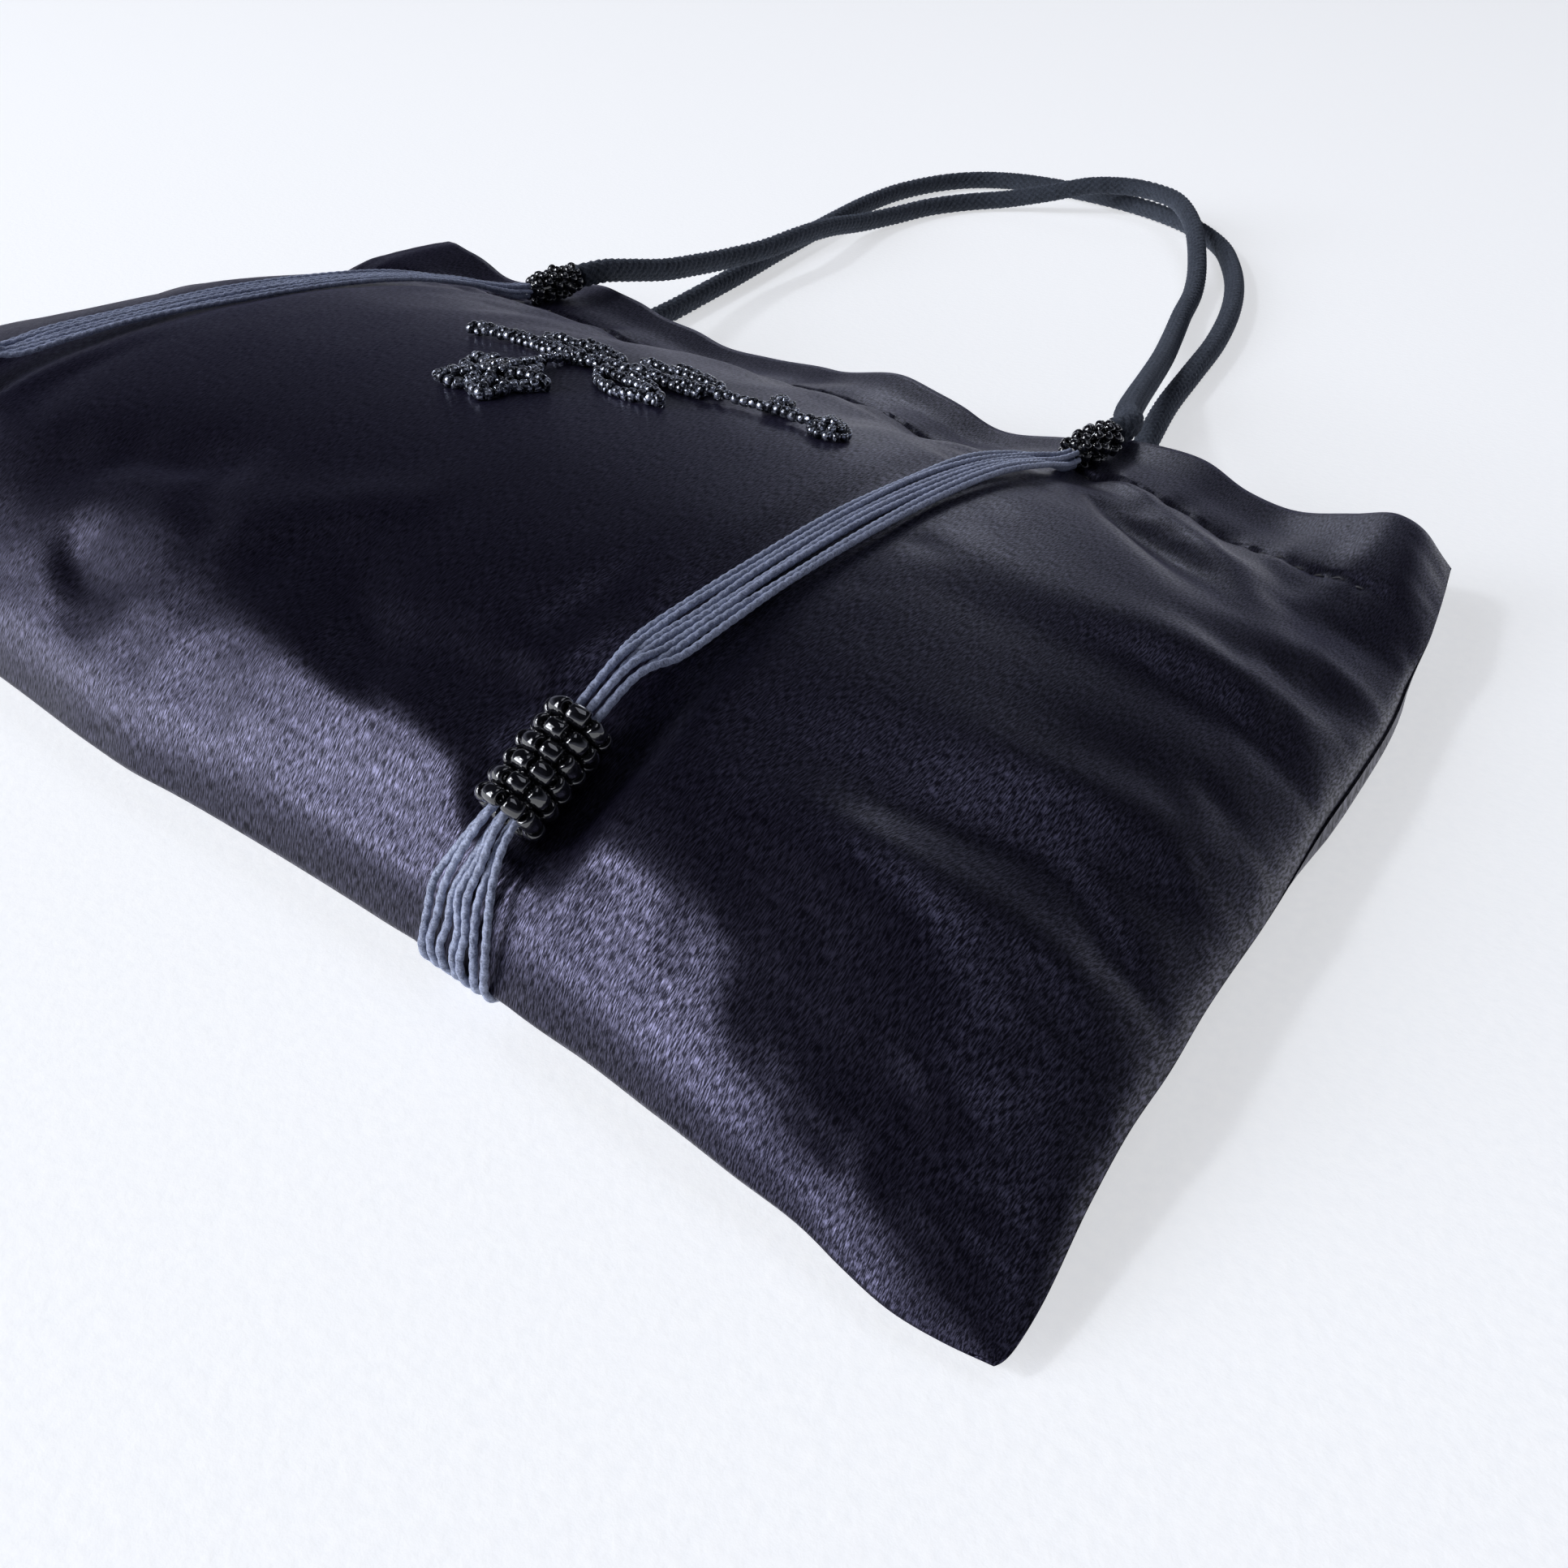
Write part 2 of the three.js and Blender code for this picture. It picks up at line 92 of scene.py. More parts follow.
def to_row(points):
    """Points of the pouch's own frame, in millimetres, as row-frame metres."""
    return (np.asarray(points, float) + (0, FOLD_Y, 0)) * MM


def add_camera():
    yaw, pitch, roll = math.radians(CAMERA_YAW), math.radians(CAMERA_PITCH), math.radians(CAMERA_ROLL)
    forward = Vector((math.sin(yaw) * math.cos(pitch), math.cos(yaw) * math.cos(pitch), -math.sin(pitch)))
    level = Vector((math.cos(yaw), -math.sin(yaw), 0))
    rise = level.cross(forward)
    right = level * math.cos(roll) + rise * math.sin(roll)
    up = rise * math.cos(roll) - level * math.sin(roll)
    data = bpy.data.cameras.new("view")
    data.sensor_width = CAMERA_SENSOR
    data.lens = CAMERA_LENS
    data.clip_start = CAMERA_NEAR
    camera = bpy.data.objects.new("view", data)
    bpy.context.collection.objects.link(camera)
    turn = Matrix((right, up, -forward)).transposed().to_4x4()
    camera.matrix_world = Matrix.Translation(Vector(to_row(CAMERA_PLACE))) @ turn
    bpy.context.scene.camera = camera


# Front handle: over the hem, down to the floor, and up over the back handle.
FRONT_ROPE = [
    (-COLLAR_X, ROPE_START, 16), (-COLLAR_X, ROPE_START + 3, 15.9), (-53.1, 132, 15.5),
    (-54.2, 139, 13.9), (-56, 150, 11.4), (-58.3, 162, 9.5), (-60.2, 174, 8.0),
    (-61.2, 186, 7.2), (-62.8, 199, 7.0), (-66, 214, 5.6), (-68.5, 229, 3.4),
    (-69.2, 243, 2.3), (-68, 256, 2.2), (-64, 267, 2.2), (-57, 275, 2.8), (-49, 280.5, 4.6),
    (-41, 286, 6.7), (-33, 290.5, 7.1), (-24.5, 290, 7.1), (-16, 284.5, 7.0), (-5.5, 271, 5.8),
    (4.5, 253.5, 3.4), (11.5, 238, 2.2), (17, 222, 2.2), (23, 206, 3.0), (29, 190, 4.6),
    (35, 173, 6.8), (41.5, 155, 9.8), (47.5, 140, 13.0), (51.7, 132, 15.3),
    (COLLAR_X, ROPE_START + 3, 15.9), (COLLAR_X, ROPE_START, 16),
]
# Back handle: out from under the hem and flat on the floor.
BACK_ROPE = [
    (-COLLAR_X, ROPE_START, 3.5), (-COLLAR_X, ROPE_START + 3, 3.5), (-53.6, 133, 3.2),
    (-55.5, 142, 2.6), (-58.3, 154, 2.2), (-61.3, 167, 2.2), (-65.1, 183, 2.2),
    (-69.6, 200, 2.2), (-73.8, 217, 2.2), (-77.6, 233, 2.2), (-80.8, 249, 2.2),
    (-82, 264, 2.2), (-80, 278, 2.2), (-75, 288, 2.2), (-67, 294, 2.2), (-57, 296.3, 2.2),
    (-46, 296.5, 2.2), (-35, 295, 2.2), (-23.5, 291.5, 2.2), (-11.5, 285, 2.2),
    (0, 274.5, 2.2), (8.5, 262, 2.2), (16.5, 247, 2.2), (23.5, 230, 2.2), (29.5, 211, 2.2),
    (34, 192, 2.2), (38, 175, 2.2), (42.5, 160, 2.2), (47, 146, 2.5), (51.6, 133, 3.2),
    (COLLAR_X, ROPE_START + 3, 3.5), (COLLAR_X, ROPE_START, 3.5),
]


def spline(points, step):
    """A smooth line through the points, as points a fixed step apart."""
    points = np.asarray(points, float)
    padded = np.vstack([2 * points[0] - points[1], points, 2 * points[-1] - points[-2]])
    dense = []
    for p0, p1, p2, p3 in zip(padded, padded[1:], padded[2:], padded[3:]):
        t = np.linspace(0, 1, 24, endpoint=False)[:, None]
        dense.append(0.5 * (
            2 * p1 + (p2 - p0) * t + (2 * p0 - 5 * p1 + 4 * p2 - p3) * t ** 2
            + (3 * p1 - p0 - 3 * p2 + p3) * t ** 3
        ))
    dense = np.vstack(dense + [points[-1:]])
    walked = np.concatenate([[0], np.cumsum(np.linalg.norm(np.diff(dense, axis=0), axis=1))])
    count = max(2, int(round(walked[-1] / step)) + 1)
    at = np.linspace(0, walked[-1], count)
    return np.stack([np.interp(at, walked, dense[:, axis]) for axis in range(3)], axis=1), at


def round_tube(radius):
    """The same radius all along a tube, for sweep()."""
    return lambda angles, distances: np.full(np.broadcast(angles, distances).shape, radius)


def sweep(points, radius, sides, step):
    """A closed tube along a route. radius(angles, distances) gives its surface, in millimetres."""
    line, at = spline(points, step)
    run = np.gradient(line, axis=0)
    run /= np.linalg.norm(run, axis=1)[:, None]
    across = np.zeros_like(line)
    side = np.cross(run[0], (0, 0, 1))
    for index, direction in enumerate(run):
        side = side - direction * side.dot(direction)
        side /= np.linalg.norm(side)
        across[index] = side
    up = np.cross(across, run)
    angles = np.arange(sides) * 2 * math.pi / sides
    reach = radius(angles[None, :], at[:, None])
    ring = across[:, None, :] * np.cos(angles)[None, :, None] + up[:, None, :] * np.sin(angles)[None, :, None]
    vertices = (line[:, None, :] + ring * reach[:, :, None]).reshape(-1, 3)
    low = (np.arange(len(line) - 1) * sides)[:, None]
    turn = np.arange(sides)[None, :]
    after = (turn + 1) % sides
    corners = [low + turn, low + after, low + sides + after, low + sides + turn]
    faces = np.stack(corners, axis=2).reshape(-1, 4).tolist()
    faces.append(list(range(sides))[::-1])
    faces.append([(len(line) - 1) * sides + corner for corner in range(sides)])
    return vertices, faces, line


def mesh_piece(name, vertices, faces, material):
    mesh = bpy.data.meshes.new(name)
    mesh.from_pydata(to_row(vertices).tolist(), [], faces)
    mesh.update()
    mesh.polygons.foreach_set("use_smooth", [True] * len(mesh.polygons))
    mesh.materials.append(material)
    piece = bpy.data.objects.new(name, mesh)
    bpy.context.collection.objects.link(piece)
    return piece


# ---------------------------------------------------------------- materials

class Nodes:
    """A small helper that adds shader nodes and links them."""

    def __init__(self, name):
        self.material = bpy.data.materials.new(name)
        self.material.use_nodes = True
        self.tree = self.material.node_tree
        self.shader = self.tree.nodes["Principled BSDF"]

    def node(self, kind):
        return self.tree.nodes.new(kind)

    def link(self, start, end):
        self.tree.links.new(start, end)

    def feed(self, socket, start):
        self.link(start, self.shader.inputs[socket])

    def add(self, one, other):
        made = self.node("ShaderNodeMath")
        made.operation = "ADD"
        self.link(one, made.inputs[0])
        self.link(other, made.inputs[1])
        return made.outputs[0]

    def noise(self, vector, scale, detail=2.0, roughness=0.5):
        made = self.node("ShaderNodeTexNoise")
        made.inputs["Scale"].default_value = scale
        made.inputs["Detail"].default_value = detail
        made.inputs["Roughness"].default_value = roughness
        self.link(vector, made.inputs["Vector"])
        return made.outputs["Fac"]

    def stretched(self, vector, scale):
        made = self.node("ShaderNodeMapping")
        made.inputs["Scale"].default_value = scale
        self.link(vector, made.inputs["Vector"])
        return made.outputs["Vector"]

    def ramp(self, factor, low, high, start=0.3, end=0.7):
        made = self.node("ShaderNodeValToRGB")
        made.color_ramp.elements[0].position = start
        made.color_ramp.elements[0].color = (*low, 1)
        made.color_ramp.elements[1].position = end
        made.color_ramp.elements[1].color = (*high, 1)
        self.link(factor, made.inputs["Fac"])
        return made.outputs["Color"]

    def spread(self, factor, low, high, start=0.0, end=1.0):
        made = self.node("ShaderNodeMapRange")
        made.inputs["From Min"].default_value = start
        made.inputs["From Max"].default_value = end
        made.inputs["To Min"].default_value = low
        made.inputs["To Max"].default_value = high
        self.link(factor, made.inputs["Value"])
        return made.outputs["Result"]

    def bump(self, height, distance, strength=1.0, normal=None):
        made = self.node("ShaderNodeBump")
        made.inputs["Strength"].default_value = strength
        made.inputs["Distance"].default_value = distance
        self.link(height, made.inputs["Height"])
        if normal is not None:
            self.link(normal, made.inputs["Normal"])
        return made.outputs["Normal"]

    def place(self, kind="Object"):
        return self.node("ShaderNodeTexCoord").outputs[kind]

    def set(self, **values):
        """Fixed values of the shader, named with underscores for spaces."""
        for key, value in values.items():
            self.shader.inputs[key.replace("_", " ")].default_value = value


def satin_material():
    """Black satin: its floats run along the cloth, so the grain is long and the gloss spreads sideways."""
    n = Nodes("satin_cloth")
    cloth = n.place("UV")
    grain = n.noise(n.stretched(cloth, (8000, 1100, 1)), 1.0, 2.5, 0.62)
    streaks = n.noise(n.stretched(cloth, (2400, 260, 1)), 1.0, 3.0, 0.6)
    clouds = n.noise(n.stretched(cloth, (70, 55, 1)), 1.0, 4.0, 0.55)
    n.feed("Base Color", n.ramp(grain, (0.0008, 0.0007, 0.0016), (0.006, 0.005, 0.012), 0.4, 0.72))
    n.feed("Roughness", n.add(n.spread(clouds, 0.36, 0.46, 0.3, 0.7), n.spread(grain, 0.05, -0.09, 0.4, 0.74)))
    n.feed("Specular IOR Level", n.spread(grain, 0.16, 2.2, 0.44, 0.76))
    n.feed("Normal", n.bump(streaks, 0.00005, 0.4, n.bump(grain, 0.00004, 0.5)))
    tangent = n.node("ShaderNodeTangent")
    tangent.direction_type = "UV_MAP"
    n.feed("Tangent", tangent.outputs["Tangent"])
    n.set(Anisotropic=0.5, Sheen_Weight=0.04, Sheen_Roughness=0.4, Sheen_Tint=(0.5, 0.46, 1.0, 1))
    n.set(Specular_Tint=(0.66, 0.64, 1.0, 1))
    return n.material


def lining_material():
    n = Nodes("lining_cloth")
    weave = n.noise(n.stretched(n.place(), (5000, 5000, 5000)), 1.0, 1.0)
    n.feed("Base Color", n.ramp(weave, (0.008, 0.008, 0.01), (0.02, 0.02, 0.024)))
    n.feed("Normal", n.bump(weave, 0.00005, 0.5))
    n.set(Roughness=0.75, Sheen_Weight=0.15, Sheen_Roughness=0.5)
    return n.material


def rope_material():
    n = Nodes("braided_rope")
    fibres = n.noise(n.place(), 3800, 3.0, 0.65)
    patches = n.noise(n.place(), 420, 2.0, 0.5)
    mixed = n.add(fibres, n.spread(patches, -0.12, 0.12))
    n.feed("Base Color", n.ramp(mixed, (0.006, 0.008, 0.012), (0.05, 0.06, 0.082), 0.3, 0.72))
    n.feed("Normal", n.bump(fibres, 0.00015, 0.8))
    n.set(Roughness=0.85, Sheen_Weight=0.25, Sheen_Roughness=0.45, Sheen_Tint=(0.6, 0.68, 0.85, 1))
    n.set(Specular_IOR_Level=0.3)
    return n.material


def strand_material():
    n = Nodes("waxed_strand")
    fibres = n.noise(n.place(), 5200, 3.0, 0.6)
    patches = n.noise(n.place(), 600, 2.0, 0.5)
    mixed = n.add(fibres, n.spread(patches, -0.15, 0.15))
    n.feed("Base Color", n.ramp(mixed, (0.07, 0.08, 0.13), (0.42, 0.47, 0.64), 0.28, 0.72))
    n.feed("Normal", n.bump(fibres, 0.00008, 0.6))
    n.set(Roughness=0.5, Sheen_Weight=0.8, Sheen_Roughness=0.4, Sheen_Tint=(0.7, 0.78, 1.0, 1))
    return n.material


def bead_material():
    n = Nodes("jet_beads")
    dust = n.noise(n.place(), 1400, 3.0, 0.6)
    n.feed("Base Color", n.ramp(dust, (0.003, 0.003, 0.004), (0.010, 0.010, 0.014), 0.4, 0.8))
    n.feed("Roughness", n.spread(dust, 0.04, 0.13, 0.4, 0.8))
    n.feed("Normal", n.bump(n.noise(n.place(), 700, 2.0), 0.00004, 0.5))
    n.set(IOR=1.5, Coat_Weight=1.0, Coat_IOR=1.6, Coat_Roughness=0.03)
    n.set(Specular_IOR_Level=0.6)
    return n.material


def cut_bead_material():
    """Small faceted beads, brighter than the round ones."""
    n = Nodes("cut_jet_beads")
    facets = n.node("ShaderNodeTexVoronoi")
    facets.inputs["Scale"].default_value = 2600
    n.link(n.place(), facets.inputs["Vector"])
    split = n.node("ShaderNodeSeparateColor")
    n.link(facets.outputs["Color"], split.inputs[0])
    colour, tilt, gloss = split.outputs
    n.feed("Base Color", n.ramp(colour, (0.02, 0.022, 0.03), (0.42, 0.45, 0.54), 0.35, 0.95))
    n.feed("Normal", n.bump(tilt, 0.0001, 0.9))
    n.feed("Roughness", n.spread(gloss, 0.08, 0.3))
    n.set(Metallic=0.75, Coat_Weight=0.6, Coat_Roughness=0.05)
    return n.material


def thread_material():
    n = Nodes("black_thread")
    fibres = n.noise(n.place(), 6000, 2.0)
    n.feed("Base Color", n.ramp(fibres, (0.004, 0.004, 0.006), (0.03, 0.03, 0.04)))
    n.set(Roughness=0.55)
    return n.material


SATIN = satin_material()
LINING = lining_material()
ROPE = rope_material()
STRAND = strand_material()
BEADS = bead_material()
CUT_BEADS = cut_bead_material()
THREAD = thread_material()


# ---------------------------------------------------------------- handles

YARNS = 8
YARN_PITCH = 1.9
YARN_DEPTH = 0.5
ROPE_SIDES, ROPE_STEP = 40, 0.42


def braid(angles, distances):
    """Radius of a round braid: two sets of yarns that pass over and under each other."""
    around = YARNS * angles / (2 * math.pi)
    one, other = around + distances / YARN_PITCH, around - distances / YARN_PITCH
    over = (np.floor(one) + np.floor(other)) % 2
    ridge = np.cos(math.pi * (np.where(over > 0.5, one, other) % 1 - 0.5))
    length = np.cos(math.pi * (np.where(over > 0.5, other, one) % 1 - 0.5))
    height = ridge ** 0.8 * (0.45 + 0.55 * length ** 0.7)
    return ROPE_RADIUS - YARN_DEPTH + YARN_DEPTH * height


def add_handle(name, route):
    vertices, faces, line = sweep(route, braid, ROPE_SIDES, ROPE_STEP)
    rope = mesh_piece(f"{name}_braided_handle", vertices, faces, ROPE)
    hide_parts(f"handle_rope_{name}")
    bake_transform(rope)


add_camera()
add_handle("front", FRONT_ROPE)
add_handle("back", BACK_ROPE)


# ---------------------------------------------------------------- strands

def along(distance):
    """y and z of a point on a sleeve's axis, at a distance up from its middle."""
    return (
        SLEEVE_PLACE[0] + distance * math.cos(SLEEVE_SLOPE),
        SLEEVE_PLACE[1] + distance * math.sin(SLEEVE_SLOPE),
    )


COLLAR_FACE = COLLAR_BOTTOM - 0.3
ABOVE = along(SLEEVE_LENGTH / 2 + SLEEVE_TRAVEL + 0.5)
UNDER = along(-SLEEVE_LENGTH / 2 - 0.5)
# y, z and how tightly the strands are bundled, from 0, side by side, to 1, packed.
STRAP_ROUTE = [
    (COLLAR_FACE, 16, 1), (109.5, 16.7, 0.85), (105, 18.3, 0.4), (99, 20.3, 0.1),
    (88, 23.2, 0), (75, 25.1, 0), (60, 26.2, 0), (45, 26.3, 0), (35, 26.1, 0),
    (28, 25.6, 0.12), (*ABOVE, 0.76), (*SLEEVE_PLACE, 0.82),
    (*UNDER, 0.7), (4.7, 15.0, 0.42), (2.9, 12.3, 0.15), (1.6, 9.7, 0),
    (0.85, 7.5, 0), (0.75, 5.7, 0), (1.2, 4.4, 0), (2.5, 3.4, 0), (5.6, 2.1, 0),
    (9, 1.4, 0), (14, 0.75, 0), (19, 0.5, 0), (42, 0.5, 0), (65, 0.5, 0), (87, 0.5, 0),
    (94, 1.0, 0.1), (101, 2.2, 0.4), (107, 3.1, 0.8), (COLLAR_FACE, 3.5, 1),
]
# Places of the seven strands when packed: across, and out from the cloth.
PACKED = [(-1, 0), (-0.5, 0.87), (-0.5, -0.87), (0, 0), (0.5, 0.87), (0.5, -0.87), (1, 0)]


def half_width(y):
    return BOTTOM_HALF_WIDTH - SIDE_TAPER * y


def strap_centre(y):
    reach = (SLEEVE_LENGTH / 2 + SLEEVE_TRAVEL + 1) * math.cos(SLEEVE_SLOPE)
    in_sleeve = abs(y - SLEEVE_PLACE[0]) < reach
    return STRAP_SHARE * half_width(SLEEVE_PLACE[0] if in_sleeve else y)


FAN_PLACE, FAN_REACH = 0.7, 4.5
FAN_SPREAD, FAN_SHIFT = 0.36, 0.9
FLAT_SQUEEZE = 0.06
STRAY_ACROSS, STRAY_OUT = 0.3, 0.35


def strand_route(side, number):
    rng = random.Random(200 + 10 * number + side)
    points = []
    for index, (y, z, bundled) in enumerate(STRAP_ROUTE):
        before = STRAP_ROUTE[max(0, index - 1)]
        after = STRAP_ROUTE[min(len(STRAP_ROUTE) - 1, index + 1)]
        run = Vector((after[0] - before[0], after[1] - before[1])).normalized()
        flat = number - (STRANDS - 1) / 2
        across = flat + (PACKED[number][0] - flat) * bundled
        out = PACKED[number][1] * bundled
        loose = 1 - bundled
        fan = math.exp(-((y - FAN_PLACE) / FAN_REACH) ** 2)
        across = across * (1 - FLAT_SQUEEZE * loose + FAN_SPREAD * fan)
        across += rng.uniform(-STRAY_ACROSS, STRAY_ACROSS) * loose
        out += rng.uniform(0, STRAY_OUT) * loose * (1 - fan)
        centre = side * (strap_centre(y) - FAN_SHIFT * fan)
        points.append((centre + across, y + run.y * out, z - run.x * out))
    return points


TURN_BETWEEN_STRANDS = 1.7
STRAND_SIDES, STRAND_STEP = 20, 0.2


def add_strands():
    for name, side in (("left", -1), ("right", 1)):
        for number in range(STRANDS):
            turn = number * TURN_BETWEEN_STRANDS + side

            def plies(angles, distances):
                twist = angles - distances * 2 * math.pi / TWIST_PITCH + turn
                return PLY_OFFSET * np.abs(np.cos(twist)) + np.sqrt(
                    PLY_RADIUS ** 2 - (PLY_OFFSET * np.sin(twist)) ** 2
                )

            vertices, faces, _ = sweep(strand_route(side, number), plies, STRAND_SIDES, STRAND_STEP)
            strand = mesh_piece(f"{name}_twisted_strand_{number + 1}", vertices, faces, STRAND)
            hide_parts(f"strand_{name}_{number + 1}")
            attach(strand, "pouch")


add_strands()


# ---------------------------------------------------------------- satin shell

def read(pairs, at):
    """A smooth reading of (position, value) pairs."""
    xs, ys = np.array(pairs, float).T
    slopes = np.gradient(ys, xs)
    index = np.clip(np.searchsorted(xs, at) - 1, 0, len(xs) - 2)
    span = xs[index + 1] - xs[index]
    t = np.clip((at - xs[index]) / span, 0, 1)
    return (
        (2 * t ** 3 - 3 * t ** 2 + 1) * ys[index] + (t ** 3 - 2 * t ** 2 + t) * span * slopes[index]
        + (3 * t ** 2 - 2 * t ** 3) * ys[index + 1] + (t ** 3 - t ** 2) * span * slopes[index + 1]
    )


def smooth_step(value, low, high):
    t = np.clip((value - low) / (high - low), 0, 1)
    return t * t * (3 - 2 * t)


# Height of the front panel under the strap.
FRONT_PROFILE = [
    (0, 6), (0.8, 8.2), (2, 10.4), (5, 13.9), (10, 17.8), (18, 21.4), (30, 24.2), (45, 25.6),
    (60, 25.6), (75, 24.5), (88, 22.2), (100, 18.4), (108, 15.2), (116, 12.8), (124, 12.2), (131, 12.0),
]
# How far a strap presses into the front panel, and how far the back panel is lifted over it.
FRONT_DENT = [
    (0, 0.0), (2, 0.1), (5, 0.6), (10, 2.1), (18, 2.4), (26, 1.0), (38, 0.4), (60, 0.15), (100, 0.1), (131, 0.0),
]
BACK_DENT = [(0, 0.8), (5, 1.3), (12, 1.2), (88, 1.25), (100, 3.8), (112, 6.6), (131, 6.6)]
# Height of the front hem, from side to side.
HEM_LINE = [
    (-100, 8.8), (-98, 11.6), (-94, 12.9), (-88, 12.2), (-80, 9.6), (-70, 9.8), (-62, 11.4),
    (-53, 12.4), (-45, 12.0), (-32, 10.3), (-17, 8.9), (-8, 9.6), (0, 10.5), (12, 12.4),
    (24, 10.8), (34, 9.2), (44, 11.4), (53, 13.0), (64, 12.8), (72, 11.0), (78, 10.1),
    (86, 12.2), (92, 13.8), (96, 12.6), (99, 9.8), (100, 8.8),
]
# How far the bottom fold lies from y = 0, from side to side.
FOLD_LINE = [
    (-115, -0.4), (-104, -1.0), (-92, -0.3), (-80, 0.2), (-68, -0.5), (-55, 0.4), (-42, 0.1),
    (-30, -0.9), (-13, -1.4), (2, -1.8), (10, -1.7), (16, -1.1), (28, -0.3), (39, 0.2),
    (50, 0.5), (60, 0.5), (67, 0.1), (74, 0.2), (83, -0.3), (91, -0.6), (98, -0.5),
    (102, -1.0), (107, -1.3), (111, -0.8), (115, 0.0),
]
# How far the side seams bow outwards, from the fold to the mouth.
SIDE_LINE = [
    (0, 0.3), (6, 0.6), (15, 0.3), (22, 0.3), (30, 0.7), (38, 0.7), (51, 1.3), (65, 2.1),
    (81, 3.0), (96, 3.2), (111, 1.8), (124, 0.6), (131, -0.2),
]
# Soft folds in the front panel: a line, the height at its start, and its width.
FOLDS = [
    ([(109, 75), (101, 76.5), (92, 73), (82, 67.5), (69, 65)], 1.9, 5.2),
    ([(110, 69), (100, 69), (90, 64), (78, 59)], -1.5, 5.0),
    ([(111, 51), (102, 48), (92, 41.5), (76, 37)], 1.5, 5.5),
    ([(111, 43), (102, 40), (94, 35), (82, 31)], -1.3, 4.6),
    ([(112, 30), (106, 27.5), (99, 26), (88, 23), (74, 20)], 1.5, 4.6),
    ([(112, 34.5), (107, 32.5), (101, 33), (94, 32)], -1.7, 3.2),
    ([(57, 118), (64, 110), (75, 104.5), (84, 96), (90, 89), (93, 84)], 1.5, 4.4),
    ([(66, 99), (75, 94), (84, 88), (89, 82)], -2.2, 4.2),
    ([(104, 92), (98, 90), (94, 84), (84, 78)], 1.1, 4.0),
    ([(107, 87), (100, 84), (92, 79)], -2.2, 4.0),
    ([(104, 101), (98, 101), (90, 101)], -1.3, 4.0),
    ([(38, 112), (36, 102), (32, 92)], -1.2, 6.0),
    ([(22, 112), (20, 102), (18, 94)], 0.9, 6.0),
    ([(-16, 113), (-18, 102), (-19, 92)], -1.3, 7.0),
    ([(3, 113), (1, 102), (-1, 94)], 0.8, 6.0),
    ([(-66, 110), (-74, 103), (-84, 94), (-91, 86)], 1.3, 5.0),
    ([(-70, 102), (-80, 94), (-88, 86)], -1.4, 5.5),
    ([(-109, 75), (-98, 76), (-84, 69), (-70, 67)], 1.6, 6.0),
    ([(-110, 67), (-98, 68), (-86, 62)], -1.3, 6.0),
    ([(-111, 46), (-98, 43), (-82, 38)], 0.9, 7.5),
    ([(-112, 38), (-100, 34), (-88, 30)], -0.7, 6.0),
    ([(-112, 28), (-102, 25), (-86, 20)], 0.6, 8.0),
    ([(100, 19), (87, 21), (74, 18)], 1.5, 6.0),
    ([(101, 8), (88, 9), (74, 8)], -0.9, 6.0),
    ([(-16, 11), (-8, 8), (2, 4)], -1.7, 4.2),
    ([(48, 9), (36, 9.5), (22, 11), (8, 13)], 1.5, 5.0),
    ([(50, 18), (38, 18), (24, 20)], -1.0, 5.0),
    ([(-2, 16), (-16, 19), (-30, 16)], 0.9, 5.0),
    ([(-8, 26), (-24, 20), (-36, 10)], -1.2, 6.0),
    ([(18, 30), (2, 21), (-8, 12)], 0.9, 7.0),
    ([(34, 14), (22, 20), (10, 30)], -0.9, 6.0),
    ([(30, 7), (8, 15), (-14, 12)], 0.7, 8.0),
    ([(22, 20), (2, 26), (-20, 24)], -0.7, 9.0),
]
CROWN_POWER, CROWN_SHOULDER = 3.5, 0.66
BACK_ROLL = 18.0
HEM_THICKNESS = 2.3
HEM_ROUND = 0.45
NOSE_SHIFT = 1.0
NOSE_UNDER_STRAP = 1.15


def crown(share):
    """How high the stuffed front stands across the pouch, from 1 in the middle to 0 at the seams."""
    return (1 - np.clip(np.abs(share), 0, 1) ** CROWN_POWER) ** CROWN_SHOULDER


def strap_bump(share, flat=0.034, edge=0.075, centre=STRAP_SHARE):
    """1 under a strap, fading to 0 beside it."""
    away = np.abs(np.abs(share) - centre)
    return 1 - smooth_step(away, flat, edge)


def seam_height(share, y):
    """Height of the side seam: low at the bottom corners, higher at the mouth."""
    x = np.abs(share) * half_width(y)
    corner = (1 - smooth_step(y, 2, 26)) * smooth_step(x, 84, 113)
    mouth = smooth_step(y, 92, 126)
    return SEAM_HEIGHT - 2.9 * corner + 2.8 * mouth - np.exp(-y / 5.0)


FOLD_LINES = [(*spline([(*point, 0) for point in line], 2.5), height, width) for line, height, width in FOLDS]


def fold_field(x, y):
    """Height that the soft folds add to the front panel. Each fades out along its line."""
    total = np.zeros_like(x)
    for smooth, walked, height, width in FOLD_LINES:
        best = np.full_like(x, 1e9)
        part = np.zeros_like(x)
        for start, end, at in zip(smooth, smooth[1:], walked):
            dx, dy = end[0] - start[0], end[1] - start[1]
            span = dx * dx + dy * dy
            t = np.clip(((x - start[0]) * dx + (y - start[1]) * dy) / span, 0, 1)
            away = np.hypot(x - start[0] - dx * t, y - start[1] - dy * t)
            nearer = away < best
            best = np.where(nearer, away, best)
            part = np.where(nearer, (at + t * math.sqrt(span)) / walked[-1], part)
        spread = width * (0.7 + 0.6 * part)
        fade = (1 - smooth_step(part, 0.35, 1.0) * 0.8) * smooth_step(part, -0.25, 0.18)
        total += height * fade * np.exp(-(best / spread) ** 2)
    return total


